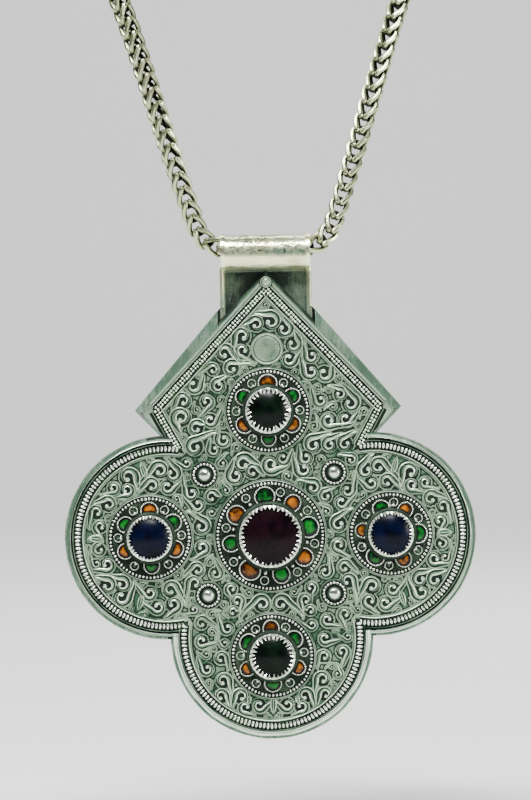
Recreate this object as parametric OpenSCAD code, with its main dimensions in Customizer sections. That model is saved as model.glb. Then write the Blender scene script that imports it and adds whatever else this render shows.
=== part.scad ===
// Enamelled quatrefoil pendant on a loop-in-loop chain, millimetres, Z up, front towards -Y.
// The origin is the middle of the clasp, where the necklace lies on the nape.

/* [Place] */
// Distance of the bail's axis below the nape
bail_drop = 147; // [140:1:160]
// Distance of the bail's axis in front of the nape
bail_reach = 116; // [110:1:122]

/* [Outline] */
// Radius of the two side lobes, on the border wire
side_r = 24; // [23:0.1:25]
// Distance of each side lobe's middle from the pendant's middle line
side_x = 28; // [27.5:0.1:28.5]
// Radius of the bottom lobe, on the border wire
low_r = 23.8; // [23:0.1:24.5]
// Depth of the bottom lobe's middle below the centre of the pendant
low_z = 27.5; // [27:0.1:28]
// Height of the front plate's point above the centre of the pendant
apex_z = 71.3; // [70.5:0.1:71.4]
// Front plate's shoulder corner, sideways and up from the centre
plate_corner = [34.6, 33.2];
// Rim's shoulder corner, sideways and up from the centre
rim_corner = [36, 34.4];
// Height at which the rim's two straight sides would meet
rim_peak_z = 76.4; // [75:0.1:78]
// Border wire's point and shoulder corner
wire_peak_z = 66.6; // [66:0.1:67]
wire_corner = [30.2, 34.6];
// Growth of the lobes from the border wire to the front plate's edge
plate_grow = 2.3; // [2:0.1:2.5]
// Growth of the lobes from the border wire to the rim's outside
rim_grow = 3.4; // [3.2:0.1:3.8]

/* [Body] */
// Thickness of the front plate
plate_t = 0.9; // [0.8:0.1:1]
// Hollow between the front plate and the back sheet
hollow_t = 2.4; // [2.2:0.1:2.4]
// Thickness of the back sheet
back_t = 0.7; // [0.6:0.1:1]
// Thickness of the side wall
wall_t = 0.7; // [0.6:0.1:0.9]
// Thickness of the rim strips that fold over the front plate
strip_t = 0.6; // [0.5:0.1:0.8]
// Width of the border wire and its height above the front plate
wire_w = 1.6; // [1.4:0.1:1.8]
wire_h = 0.7; // [0.5:0.1:0.9]
// Radius and height of the plain medallion
medal_r = 4.05; // [3.8:0.05:4.3]
medal_h = 0.25; // [0.2:0.05:0.4]
// Height of the medallion's middle above the centre
medal_z = 50.5; // [50:0.1:51]

/* [Bail] */
// Height of the bail's axis above the centre of the pendant
bail_z = 76.5; // [76.4:0.1:77]
// Outside radius, wall and length of the tube
bail_r = 4.9; // [4.8:0.05:5]
bail_wall = 0.8; // [0.7:0.05:0.9]
bail_len = 24; // [23:0.5:25]
// Growth and length of each end collar
collar_grow = 0.4; // [0.3:0.05:0.5]
collar_len = 1.2; // [1:0.1:1.5]
// Width of the tab and the height of its lower edge above the centre
tab_w = 24.8; // [24:0.1:25]
tab_low_z = 52; // [50:1:54]
// Thickness of the doubled tab and radius of its edge wires
tab_t = 2.2; // [1.8:0.1:2.2]
edge_r = 0.55; // [0.4:0.05:0.6]

/* [Settings] */
// Base thickness of each round setting
base_t = 0.8; // [0.7:0.1:1]
// Radius of the beaded outer ring's wire
ring_wire = 0.55; // [0.5:0.05:0.6]
// Wall of the bezel round each glass
bezel_t = 0.6; // [0.5:0.05:0.7]
// Wall and height of the cells that hold the enamel
cell_t = 0.35; // [0.3:0.05:0.4]
cell_h = 0.8; // [0.7:0.05:1]
// Thickness of the enamel
enamel_t = 0.6; // [0.5:0.05:0.7]
// Radius of the round cells between the petals
bud_r = 1.2; // [1:0.05:1.3]

/* [Chain] */
// Number of links in each half of the chain
half_links = 66;
// Distance from link to link
pitch = 4.0; // [3.98:0.01:4.02]
// Radius of the links' wire
link_wire = 0.43; // [0.4:0.01:0.44]
// Height of a folded link, and its half width at the loops and at the fold
link_h = 5.25; // [5.2:0.01:5.3]
link_half = 2.13; // [2.1:0.01:2.15]

/* [Hidden] */
$fn = 96;
// Clearance between pieces that sit on or in each other
gap = 0.05;
// Depth to which a post or a dome is rooted in what it is soldered to
root = 0.3;
// Heights are measured along -Y from the front plate's face, whose place is set off from the bail's axis
face_y = -1.0;
back_y = face_y + plate_t + hollow_t;
strip_y = face_y - gap - strip_t;
tab_y = face_y + plate_t + (hollow_t - tab_t) / 2;
// Half width of the stretch at the point where the tab comes out between the strips
tab_door = tab_w / 2 + 0.8;
door_low_z = 50;
// Past this, sideways, the fold over the gable is whole down to the shoulder's corner
shoulder_x = 16;
// Angles of the strips on the side lobe and the bottom lobe, from the lobe's middle
side_strip = [-89.6, 79.2];
low_strip = [183, 357];
// Length of the shoulder's underside, run on until it is inside the lobe
dive = 15;
// Points of the gable's outline that lie inside the lobes, at its foot
foot_corner = [22, -22];
foot_mid_z = -30;
// Beyond the outline, and through every sheet
beyond = 60;
through = 10;

// Columns of the settings: name, place x and z, radii of the ring's wire, bezel, collar and petal tips,
// half width of a petal, height of the bezel and of the glass dome
S_NAME = 0;
S_X = 1;
S_Z = 2;
S_RING = 3;
S_BEZEL = 4;
S_COLLAR = 5;
S_TIP = 6;
S_HALF = 7;
S_HIGH = 8;
S_DOME = 9;
S_PETALS = 10;
// Petals: angle in degrees and colour letter, g green, o orange
SETTINGS = [
    ["centre", 0, 0, 14.45, 8.35, 9.5, 13.3, 2.6, 5.2, 2.6,
        [[97, "g"], [55, "o"], [12, "g"], [-33, "o"], [-75, "g"], [-122, "o"], [-170, "g"], [147, "o"]]],
    ["top", 0, 33.8, 10.9, 6.1, 7.2, 9.75, 2.3, 4.4, 2.0,
        [[90, "o"], [30, "g"], [-30, "o"], [-90, "g"], [-150, "o"], [150, "g"]]],
    ["left", -32.5, 0, 10.9, 6.1, 7.2, 9.75, 2.3, 4.4, 2.0,
        [[90, "o"], [33, "g"], [-24, "o"], [-87, "g"], [-153, "o"], [150, "g"]]],
    ["right", 32.5, 0, 10.9, 6.1, 7.2, 9.75, 2.3, 4.4, 2.0,
        [[110, "g"], [58, "o"], [0, "g"], [-64, "o"], [-125, "g"], [172, "o"]]],
    ["bottom", 0, -32.4, 10.9, 6.1, 7.2, 9.75, 2.3, 4.4, 2.0,
        [[92, "o"], [37, "g"], [-25, "o"], [-90, "g"], [-154, "o"], [150, "g"]]],
];
SEAT_H = 2.2;
GIRDLE_H = 0.8;
POST_R = 1.2;
HEAD_R = 2.0;
HEAD_T = 0.6;

// Bosses: place x and z
BOSSES = [[-17.5, 16.8], [17.5, 16.8], [-17, -15.8], [17, -15.8]];
BOSS_DOME_R = 2.45;
BOSS_DOME_H = 1.7;
BOSS_RING_R = 3.55;
BOSS_RING_WIRE = 0.45;
BOSS_BASE_T = 0.5;
BOSS_POST_R = 0.8;
BOSS_HEAD_R = 1.4;

// Apex rivet
RIVET_Z = 68.5;
RIVET_R = 1.35;
RIVET_RING = 1.5;
RIVET_RING_WIRE = 0.25;
RIVET_T = 0.5;
RIVET_POST_R = 0.7;

function petal_name(s, p) = str("enamel_", s[S_NAME], "_", p + 1);

// Places and directions

// Moves a piece from the pendant's own frame, centred on the bail's axis and the centre rosette's height
module in_pendant() {
    translate([0, -bail_reach, -bail_drop - bail_z]) children();
}

// A flat outline in X and Z, thickened from y to y + t
module slab(y, t) {
    translate([0, y + t, 0]) rotate([90, 0, 0]) linear_extrude(t) children();
}

// A place on the front plate's face: local z is the height above the face
module on_plate(x, z) {
    translate([x, face_y, z]) rotate([90, 0, 0]) children();
}

// A hole through every sheet for a post of radius r
module hole(x, z, r) {
    on_plate(x, z) translate([0, 0, -through]) cylinder(r = r + gap, h = 2 * through);
}

// Outline

function unit(v) = v / norm(v);
// Direction of the gable's side and of the shoulder's underside, as outward normals
function side_normal(peak, corner) = unit([peak - corner[1], corner[0]]);
function under_normal(lean) = [cos(lean), -sin(lean)];
function mitre(a, b) = (a + b) / (1 + a * b);

// The gable, grown by g: point, shoulder corner, underside that runs into the side lobe, and the middle
module gable(peak, corner, lean, g) {
    n_side = side_normal(peak, corner);
    n_under = under_normal(lean);
    c = corner + g * mitre(n_side, n_under);
    d = c + dive * [-sin(lean), -cos(lean)];
    half = [c, d, foot_corner];
    polygon(concat(
        [[0, peak + g / n_side[1]]], half, [[0, foot_mid_z]], [for (i = [2 : -1 : 0]) [-half[i][0], half[i][1]]]
    ));
}

module lobes(g) {
    for (side = [-1, 1]) translate([side * side_x, 0]) circle(side_r + g);
    translate([0, -low_z]) circle(low_r + g);
}

// Lean of the shoulder's underside from the vertical
plate_lean = 44;
wire_lean = 28.6;

module plate_outline(g = 0) {
    lobes(plate_grow + g);
    gable(apex_z, plate_corner, plate_lean, g);
}

module rim_outline(g = 0) {
    lobes(rim_grow + g);
    gable(rim_peak_z, rim_corner, plate_lean, g);
}

module wire_outline(g = 0) {
    lobes(g);
    gable(wire_peak_z, wire_corner, wire_lean, g);
}

// A wide pie slice from angle a to b, by which a ring is cut to a stretch
module slice(a, b) {
    steps = 6;
    polygon(concat([[0, 0]], [for (i = [0 : steps]) let (t = a + (b - a) * i / steps) beyond * [cos(t), sin(t)]]));
}

// The stretches of rim that fold over the front: two on the gable, one on each lobe
module strip_stretches() {
    for (side = [0, 1]) mirror([side, 0]) {
        translate([shoulder_x, rim_corner[1] - 0.4]) square(beyond);
        translate([tab_door, door_low_z]) square(beyond);
        translate([side_x, 0]) slice(side_strip[0], side_strip[1]);
    }
    translate([0, -low_z]) slice(low_strip[0], low_strip[1]);
}

// Body

module door() {
    translate([-tab_door, door_low_z]) square([2 * tab_door, beyond]);
}

module back_shell() {
    color("#8f9a8c") in_pendant() difference() {
        union() {
            slab(back_y, back_t) difference() {
                rim_outline();
                door();
            }
            slab(back_y, back_t) plate_outline();
            slab(strip_y + strip_t, back_y + back_t - strip_y - strip_t) difference() {
                rim_outline();
                rim_outline(-wall_t);
                door();
            }
            slab(strip_y, strip_t) intersection() {
                difference() {
                    rim_outline();
                    plate_outline(-0.4);
                    door();
                }
                strip_stretches();
            }
        }
        hole(0, RIVET_Z, RIVET_POST_R);
    }
}

module front_plate() {
    color("#b9c2b4") in_pendant() difference() {
        union() {
            slab(face_y, plate_t) intersection() {
                plate_outline();
                rim_outline(-wall_t - 2 * gap);
            }
            slab(face_y - wire_h, wire_h) difference() {
                wire_outline(wire_w / 2);
                wire_outline(-wire_w / 2);
            }
            on_plate(0, medal_z) cylinder(r = medal_r, h = medal_h);
        }
        hole(0, RIVET_Z, RIVET_POST_R);
        on_plate(0, RIVET_Z) cylinder(r = RIVET_RING + RIVET_RING_WIRE + gap, h = through);
        for (s = SETTINGS) hole(s[S_X], s[S_Z], POST_R);
        for (b = BOSSES) hole(b[0], b[1], BOSS_POST_R);
    }
}

// Bail

module along_x(r, length, x = 0) {
    translate([x - length / 2, 0, bail_z]) rotate([0, 90, 0]) cylinder(r = r, h = length);
}

module bail() {
    edge_x = tab_w / 2 - edge_r;
    collar_x = bail_len / 2 - collar_len / 2;
    edge_low_z = tab_low_z + 10;
    color("#a8a595") in_pendant() difference() {
        union() {
            along_x(bail_r, bail_len);
            for (side = [-1, 1]) along_x(bail_r + collar_grow, collar_len, side * collar_x);
            translate([-tab_w / 2, tab_y, tab_low_z]) cube([tab_w, tab_t, bail_z - tab_low_z]);
            for (side = [-1, 1])
                translate([side * edge_x, tab_y, edge_low_z]) cylinder(r = edge_r, h = bail_z - edge_low_z - 1);
        }
        along_x(bail_r - bail_wall, bail_len + through);
        hole(0, RIVET_Z, RIVET_POST_R);
    }
}

module apex_rivet() {
    stack = plate_t + hollow_t + back_t;
    color("#b9c2b4") in_pendant() on_plate(0, RIVET_Z) {
        translate([0, 0, gap]) cylinder(r = RIVET_R, h = RIVET_T);
        translate([0, 0, gap + RIVET_RING_WIRE]) rotate_extrude() translate([RIVET_RING, 0]) circle(RIVET_RING_WIRE);
        translate([0, 0, -stack - root]) cylinder(r = RIVET_POST_R, h = stack + 2 * root);
        translate([0, 0, -stack - gap - RIVET_T]) cylinder(r = RIVET_R, h = RIVET_T);
    }
}

// Settings

// A post through the front plate with its hammered head in the hollow
module post(r, head_r) {
    translate([0, 0, -plate_t - root]) cylinder(r = r, h = plate_t + 2 * root);
    translate([0, 0, -plate_t - gap - HEAD_T]) cylinder(r = head_r, h = HEAD_T);
}

// A ball whose cap is h high where its radius is r
function cap_ball(r, h) = (r * r + h * h) / (2 * h);
module cap(r, h, grow = 0) {
    ball = cap_ball(r, h);
    translate([0, 0, h - ball]) sphere(ball + grow);
}

function glass_r(s) = s[S_BEZEL] - bezel_t - gap;

module glass_body(s, grow = 0) {
    r = glass_r(s) + grow;
    intersection() {
        translate([0, 0, SEAT_H + gap - grow]) cylinder(r = r, h = GIRDLE_H + s[S_DOME] + 1);
        translate([0, 0, SEAT_H + gap + GIRDLE_H]) cap(glass_r(s), s[S_DOME], grow);
    }
}

function petal_mid(s) = s[S_TIP] - s[S_HALF];
// Angle halfway between petal p and the next one, going clockwise as the lists do
function bud_angle(s, p) =
    let (a = s[S_PETALS][p][0], b = s[S_PETALS][(p + 1) % len(s[S_PETALS])][0])
    (a + (b > a ? b - 360 : b)) / 2;

module setting(s) {
    lip = 0.6;
    color("#a3ab9d") in_pendant() on_plate(s[S_X], s[S_Z]) difference() {
        union() {
            translate([0, 0, gap]) cylinder(r = s[S_RING], h = base_t);
            translate([0, 0, gap + ring_wire]) rotate_extrude() translate([s[S_RING], 0]) circle(ring_wire);
            translate([0, 0, gap]) cylinder(r1 = s[S_COLLAR], r2 = s[S_BEZEL] + 0.15, h = SEAT_H);
            translate([0, 0, gap]) cylinder(r = s[S_BEZEL], h = s[S_HIGH] - lip);
            translate([0, 0, s[S_HIGH] - lip]) cylinder(r1 = s[S_BEZEL], r2 = s[S_BEZEL] - bezel_t, h = lip);
            for (petal = s[S_PETALS]) rotate(petal[0]) translate([petal_mid(s), 0, base_t]) difference() {
                cylinder(r = s[S_HALF] + cell_t, h = cell_h);
                translate([0, 0, gap]) cylinder(r = s[S_HALF], h = cell_h);
            }
            for (p = [0 : len(s[S_PETALS]) - 1])
                rotate(bud_angle(s, p)) translate([s[S_TIP] - bud_r, 0, base_t]) difference() {
                    cylinder(r = bud_r, h = cell_h - 4 * gap);
                    translate([0, 0, gap]) cylinder(r = bud_r - cell_t, h = cell_h);
                }
            post(POST_R, HEAD_R);
        }
        glass_body(s, gap);
        translate([0, 0, SEAT_H]) cylinder(r = glass_r(s) + gap, h = GIRDLE_H);
    }
}

module glass(s) {
    color("#1a1028") in_pendant() on_plate(s[S_X], s[S_Z]) glass_body(s);
}

module enamel(s, p) {
    petal = s[S_PETALS][p];
    foot = base_t + 2 * gap;
    color(petal[1] == "g" ? "#1c8a2c" : "#d07a2c") in_pendant() on_plate(s[S_X], s[S_Z]) difference() {
        rotate(petal[0]) translate([petal_mid(s), 0, foot]) cylinder(r = s[S_HALF] - gap, h = enamel_t);
        cylinder(r = s[S_COLLAR] + gap, h = foot + enamel_t + 1);
    }
}

module boss(b) {
    color("#b9c2b4") in_pendant() on_plate(b[0], b[1]) {
        translate([0, 0, gap]) cylinder(r = BOSS_RING_R, h = BOSS_BASE_T);
        translate([0, 0, gap + BOSS_RING_WIRE]) rotate_extrude() translate([BOSS_RING_R, 0]) circle(BOSS_RING_WIRE);
        translate([0, 0, gap + BOSS_BASE_T]) intersection() {
            translate([0, 0, -root]) cylinder(r = BOSS_DOME_R, h = BOSS_DOME_H + 1);
            cap(BOSS_DOME_R, BOSS_DOME_H);
        }
        post(BOSS_POST_R, BOSS_HEAD_R);
    }
}

// Chain

// Route of the chain's right half: level through the bail, a round bend up at its mouth, then these points
MOUTH_X = 10.6;
MOUTH_R = 8;
MOUTH_TURN = 72;
CHAIN_RISE = 1.0;
LEG = [
    [25.4, -116, -118.5], [31.3, -115.6, -99], [38, -114, -78.5], [46.5, -107.5, -57.5], [54.5, -93.5, -39],
    [60, -75, -24.5], [61.5, -56, -14.5], [57, -36, -7], [45.5, -17.5, -2.8], [29.5, -5.5, -0.8], [14, -0.8, 0],
    [0, 0, 0]
];
MOUTH = [for (a = [0 : 9 : MOUTH_TURN])
    [MOUTH_X + MOUTH_R * sin(a), -bail_reach, CHAIN_RISE - bail_drop + MOUTH_R * (1 - cos(a))]];
// Neighbours before the first and after the last point, for the curve's ends
BEND_IN = MOUTH[len(MOUTH) - 3];
BEND_OUT = [-14, -0.8, 0];
KNOTS = concat([BEND_IN, MOUTH[len(MOUTH) - 1]], LEG, [BEND_OUT]);
STEPS = 10;

// A smooth curve through b and c, with a before and d after them, at t from 0 to 1
function curve(a, b, c, d, t) =
    (2 * b + (c - a) * t + (2 * a - 5 * b + 4 * c - d) * t * t + (3 * b - a - 3 * c + d) * t * t * t) / 2;

ROUTE = concat(
    [[0, -bail_reach, CHAIN_RISE - bail_drop]],
    MOUTH,
    [for (k = [1 : len(KNOTS) - 3]) for (i = [1 : STEPS])
        curve(KNOTS[k - 1], KNOTS[k], KNOTS[k + 1], KNOTS[k + 2], i / STEPS)]
);
// Length of the route up to each of its points
RUN = [for (i = 0, s = 0; i < len(ROUTE);
    s = s + (i + 1 < len(ROUTE) ? norm(ROUTE[i + 1] - ROUTE[i]) : 0), i = i + 1) s];
ROUTE_LEN = RUN[len(RUN) - 1];

function table(axis) = [for (i = [0 : len(ROUTE) - 1]) [RUN[i], ROUTE[i][axis]]];
ROUTE_X = table(0);
ROUTE_Y = table(1);
ROUTE_Z = table(2);
// Place on the whole chain's middle line, s from the middle of the bail, to the right when s > 0
function place(s) =
    [sign(s) * lookup(abs(s), ROUTE_X), lookup(abs(s), ROUTE_Y), lookup(abs(s), ROUTE_Z)];

// Away from the neck's middle, level
NECK_MID_Y = -58;
NECK_FLAT = 0.85;
function outward(p) = unit([p[0] * NECK_FLAT, p[1] - NECK_MID_Y, 0]);
// In front the links face forward, and turn to face outward on the way up the legs
FACE_Z = [-100, -40];
function facing(p) =
    let (share = max(0, min(1, (p[2] - FACE_Z[0]) / (FACE_Z[1] - FACE_Z[0]))))
    unit(share * outward(p) + (1 - share) * [0, -1, 0]);

// One link: two loops, front and back, that meet in a fold at z = 0
LOOP_GAP = 0.5;
FOLD_GAP = 0.55;
SHOULDER = 0.9;
LOOP_TOP = 0.77;
function half_link(f) = [
    [f * FOLD_GAP, -f * link_half, 0],
    [f * link_half, -f * LOOP_GAP, link_h - SHOULDER],
    [f * LOOP_TOP, -f * LOOP_GAP, link_h],
    [-f * LOOP_TOP, -f * LOOP_GAP, link_h],
    [-f * link_half, -f * LOOP_GAP, link_h - SHOULDER],
    [-f * FOLD_GAP, -f * link_half, 0]
];
LINK = concat(half_link(1), half_link(-1));
COUNT = len(LINK);
function heading(i) = unit(LINK[(i + 1) % COUNT] - LINK[(i + COUNT - 1) % COUNT]);
// Side direction of the wire, carried from point to point
function carry(i, n) = unit(n - (n * heading(i)) * heading(i));
function sides(i = 0, n = [0, 0, -1]) =
    i == COUNT ? [carry(0, n)] : let (m = carry(i, n)) concat([m], sides(i + 1, m));
SIDES = sides();
// Turn left over after one round, shared out over the points
LEFT_OVER = atan2(cross(SIDES[0], SIDES[COUNT]) * heading(0), SIDES[0] * SIDES[COUNT]);
WIRE_SIDES = 5;
LINK_POINTS = [for (i = [0 : COUNT - 1]) for (k = [0 : WIRE_SIDES - 1])
    let (a = 360 * k / WIRE_SIDES - LEFT_OVER * i / COUNT)
    LINK[i] + link_wire * (cos(a) * SIDES[i] + sin(a) * cross(heading(i), SIDES[i]))];
LINK_FACES = [for (i = [0 : COUNT - 1]) for (k = [0 : WIRE_SIDES - 1])
    let (j = (i + 1) % COUNT, m = (k + 1) % WIRE_SIDES)
    each [[i * WIRE_SIDES + k, j * WIRE_SIDES + m, i * WIRE_SIDES + m],
        [i * WIRE_SIDES + k, j * WIRE_SIDES + k, j * WIRE_SIDES + m]]];

module link(n) {
    s = (n + 0.5) * pitch - link_h / 2;
    a = place(s);
    b = place(s + link_h);
    up = unit(b - a);
    raw = facing((a + b) / 2);
    front = unit(raw - (raw * up) * up);
    side = cross(front, up);
    foot = (a + b) / 2 - up * link_h / 2;
    multmatrix([
        [side[0], front[0], up[0], foot[0]],
        [side[1], front[1], up[1], foot[1]],
        [side[2], front[2], up[2], foot[2]],
        [0, 0, 0, 1]
    ]) polyhedron(LINK_POINTS, LINK_FACES);
}

module chain_right() {
    color("#c3c2ae") for (n = [0 : half_links - 1]) link(n);
}

module chain_left() {
    color("#c3c2ae") for (n = [-half_links : -1]) link(n);
}

// Clasp: a plain barrel with an eye at each end, turned a quarter from each other, each through the last link
CLASP_R = 2.3;
EYE_WIRE = 0.45;
EYE_R = 1.9;
module clasp() {
    // Where the next link's fold or loops would lie
    reach = ROUTE_LEN - half_links * pitch + (link_h - pitch) / 2;
    barrel = 2 * (reach - 2 * EYE_R);
    color("#a8a595") {
        rotate([0, 90, 0]) translate([0, 0, -barrel / 2]) cylinder(r = CLASP_R, h = barrel);
        for (side = [-1, 1]) translate([side * (reach - EYE_R), 0, 0]) rotate([side > 0 ? 0 : 90, 0, 0])
            rotate_extrude() translate([EYE_R, 0]) circle(EYE_WIRE);
    }
}

back_shell();
front_plate();
bail();
apex_rivet();
clasp();
chain_right();
chain_left();
for (b = [0 : len(BOSSES) - 1]) boss(BOSSES[b]);
for (s = SETTINGS) {
    setting(s);
    glass(s);
    for (p = [0 : len(s[S_PETALS]) - 1]) enamel(s, p);
}
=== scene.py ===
# %% [markdown]
# # An enamelled silver quatrefoil pendant on a loop-in-loop chain
# The metalwork's plain construction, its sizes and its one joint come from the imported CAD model, which is
# loaded first and never moved. This script adds what a silversmith adds afterwards: chased scrolls, milled
# and beaded wires, saw-toothed bezels, enamel petals, patina and wear. It needs a little under a minute.

# %% Load the frame
import math
import random

import bmesh
import bpy
import numpy as np
from mathutils import Matrix, Vector


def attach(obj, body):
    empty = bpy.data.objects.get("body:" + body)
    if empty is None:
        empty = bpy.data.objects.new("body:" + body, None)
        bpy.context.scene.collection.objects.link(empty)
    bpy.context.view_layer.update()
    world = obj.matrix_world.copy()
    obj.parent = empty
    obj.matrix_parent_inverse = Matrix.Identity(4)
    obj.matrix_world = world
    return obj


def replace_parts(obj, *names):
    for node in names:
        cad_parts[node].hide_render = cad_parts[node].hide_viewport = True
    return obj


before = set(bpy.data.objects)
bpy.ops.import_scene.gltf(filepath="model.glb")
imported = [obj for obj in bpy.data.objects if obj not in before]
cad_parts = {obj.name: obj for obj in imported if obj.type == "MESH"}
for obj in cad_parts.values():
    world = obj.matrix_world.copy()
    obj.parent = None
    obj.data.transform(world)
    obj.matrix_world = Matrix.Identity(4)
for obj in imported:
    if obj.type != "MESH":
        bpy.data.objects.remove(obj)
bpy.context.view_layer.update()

# %% [markdown]
# ## The pendant's own coordinates
# Nearly everything here sits on the flat front plate, so it is simplest to think like an engraver at the bench:
# x to the right, z up the plate from the middle rosette, and h, the height above the plate's face, all in
# millimetres. One matrix then carries finished work to its place on the necklace, in metres.

# %% Bench coordinates
MM = 0.001
BAIL_DROP, BAIL_REACH, BAIL_UP = 147.0, 116.0, 76.5
FACE_FORWARD = 1.0
# Columns: where the bench's x, z and h point in the necklace's frame
BENCH = Matrix((
    (MM, 0, 0, 0),
    (0, 0, -MM, -(BAIL_REACH + FACE_FORWARD) * MM),
    (0, MM, 0, -(BAIL_DROP + BAIL_UP) * MM),
    (0, 0, 0, 1),
))
print("Middle rosette on the plate, m:", [round(v, 4) for v in BENCH @ Vector((0, 0, 0))])


# %% [markdown]
# ## Camera
# The photograph was taken straight on with a long lens, and the pendant lies turned by about one degree in
# it. The pendant itself is built upright, so the camera takes the turn.

# %% Camera
PICTURE_H = 800
MM_PER_PIXEL = 0.27
DISTANCE = 850.0
AIM_X, AIM_Z = -0.63, 36.7
ROLL = math.radians(-1.05)
SENSOR = 36.0

camera = bpy.data.objects.new("camera", bpy.data.cameras.new("camera"))
bpy.context.scene.collection.objects.link(camera)
bpy.context.scene.camera = camera
camera.data.sensor_width = SENSOR
camera.data.lens = SENSOR * DISTANCE / (PICTURE_H * MM_PER_PIXEL)
camera.data.clip_start, camera.data.clip_end = 0.05, 20
aim = BENCH @ Vector((AIM_X, AIM_Z, 0))
camera.matrix_world = (
    Matrix.Translation(aim - Vector((0, DISTANCE * MM, 0)))
    @ Matrix.Rotation(math.radians(90), 4, "X")
    @ Matrix.Rotation(ROLL, 4, "Z")
)
print("Lens, mm:", round(camera.data.lens, 1))


# %% [markdown]
# ## Colours and nodes
# Colours are written as the sRGB hex values that a picture editor shows, and one function turns them linear.
# One more function adds a shader node with its settings and its links, which keeps each material short. A node
# given as an input stands for its first output.

# %% Colour and node helpers
def colour(hex_value):
    channels = [int(hex_value[i:i + 2], 16) / 255 for i in (1, 3, 5)]
    return (*[c / 12.92 if c <= 0.04045 else ((c + 0.055) / 1.055) ** 2.4 for c in channels], 1)


def put(tree, kind, settings, inputs):
    node = tree.nodes.new("ShaderNode" + kind)
    for name, value in settings.items():
        setattr(node, name, value)
    for name, value in inputs.items():
        if isinstance(value, bpy.types.Node):
            value = value.outputs[0]
        if isinstance(value, bpy.types.NodeSocket):
            tree.links.new(value, node.inputs[name])
        else:
            node.inputs[name].default_value = value
    return node


# Sockets of the Mix node when it mixes colours
FACTOR, FIRST, SECOND, MIXED = 0, 6, 7, 2


def new_material(name):
    material = bpy.data.materials.new(name)
    material.use_nodes = True
    material.node_tree.nodes.clear()
    return material, material.node_tree


def finish_material(tree, shader):
    put(tree, "OutputMaterial", {}, {"Surface": shader})


# %% [markdown]
# ## Chased silver
# Old silver is bright where fingers and cloth reach and dark green-black where they don't. A graver's ridge
# is the brightest, the ground beside it is grey, and the foot of each wall is nearly black. So every worked
# piece carries a number for each of its vertices, called reach: 0 in the deepest corners and 1 on the crests.
# The material turns it into colour, gloss and how metallic the surface still is under its patina.

# %% Chased silver material
PATINA, GREY, BRIGHT = "#08190e", "#40664a", "#edffe6"
# Sizes of the surface's grain, of a hammer's dents and of the clouds of tarnish
GRAIN_MM, DENT_MM, CLOUD_MM = 0.35, 1.5, 7.0
GRAIN_SHARE, DARKER = 0.34, 0.02
TARNISHED_METAL, RUBBED_METAL, TARNISHED_ROUGH = 0.6, 0.97, 0.7


def worked_silver(name, dark, middle, light, reach, rough=0.3, stain="#9fb89a", dent=0.12, patches=0.8):
    """Silver whose patina follows reach, a function that adds the nodes giving 0 in the depths and 1 on top."""
    material, tree = new_material(name)
    place = put(tree, "TexCoord", {}, {}).outputs["Object"]
    grain = put(tree, "TexNoise", {}, {"Vector": place, "Scale": 1 / (GRAIN_MM * MM), "Detail": 3.0})
    cloud = put(tree, "TexNoise", {}, {"Vector": place, "Scale": 1 / (CLOUD_MM * MM), "Detail": 4.0})
    dents = put(tree, "TexNoise", {}, {"Vector": place, "Scale": 1 / (DENT_MM * MM), "Detail": 1.0})
    patchy = put(tree, "Math", {"operation": "MULTIPLY_ADD"},
                 {0: cloud, 1: patches, 2: -(patches + GRAIN_SHARE) / 2 - DARKER})
    spread = put(tree, "Math", {"operation": "MULTIPLY_ADD"}, {0: grain, 1: GRAIN_SHARE, 2: patchy})
    level = put(tree, "Math", {"operation": "ADD", "use_clamp": True}, {0: reach(tree, place), 1: spread})
    low_part = put(tree, "MapRange", {}, {"Value": level, "From Min": 0.0, "From Max": 0.5})
    high_part = put(tree, "MapRange", {}, {"Value": level, "From Min": 0.45, "From Max": 0.95})
    lower = put(tree, "Mix", {"data_type": "RGBA"},
                {FACTOR: low_part, FIRST: colour(dark), SECOND: colour(middle)}).outputs[MIXED]
    tone = put(tree, "Mix", {"data_type": "RGBA"},
               {FACTOR: high_part, FIRST: lower, SECOND: colour(light)}).outputs[MIXED]
    where = put(tree, "MapRange", {}, {"Value": cloud, "From Min": 0.42, "From Max": 0.7, "To Max": 0.55})
    stained = put(tree, "Mix", {"data_type": "RGBA", "blend_type": "MULTIPLY"},
                  {FACTOR: where, FIRST: tone, SECOND: colour(stain)}).outputs[MIXED]
    metal = put(tree, "MapRange", {}, {"Value": level, "To Min": TARNISHED_METAL, "To Max": RUBBED_METAL})
    gloss = put(tree, "MapRange", {}, {"Value": level, "To Min": TARNISHED_ROUGH, "To Max": rough})
    uneven = put(tree, "Bump", {}, {"Strength": 0.5, "Distance": dent * MM, "Height": dents})
    bump = put(tree, "Bump", {}, {"Strength": 0.35, "Distance": 0.05 * MM, "Height": grain, "Normal": uneven})
    shader = put(tree, "BsdfPrincipled", {},
                 {"Base Color": stained, "Metallic": metal, "Roughness": gloss, "Normal": bump})
    finish_material(tree, shader)
    return material


def reach_of_vertices(tree, place):
    return put(tree, "Attribute", {"attribute_name": "reach"}, {}).outputs["Fac"]


# Chasing leaves rounded ridges: they glint softly, and the hollows beside them stay black-green
chased = worked_silver("silver_chased_and_patinated", PATINA, GREY, BRIGHT, reach_of_vertices)
# Milled and cut wire stands highest and is rubbed most, so it sparkles nearly white
bright_wire = worked_silver("silver_wire_milled_bright", PATINA, "#86a288", "#fbfff4", reach_of_vertices,
                            rough=0.26)
print("Materials:", chased.name, "and", bright_wire.name)

# %% [markdown]
# ## Silver sheet, tube and ground
# The plain parts come from the CAD model, so their reach can't be painted on vertices. It is worked out from
# the place on the pendant instead. On rolled sheet, slow clouds of tarnish and fine rubbing lines change it,
# and the Bevel node, which tells where a surface turns a corner, brightens the edges that rub against cloth.

# %% Sheet silver
EDGE_WEAR_MM, SHEET_CLOUD_MM, STREAK_MM = 0.4, 11, 0.8
STREAK_REACH, EDGE_REACH = 0.32, 2.2
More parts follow.
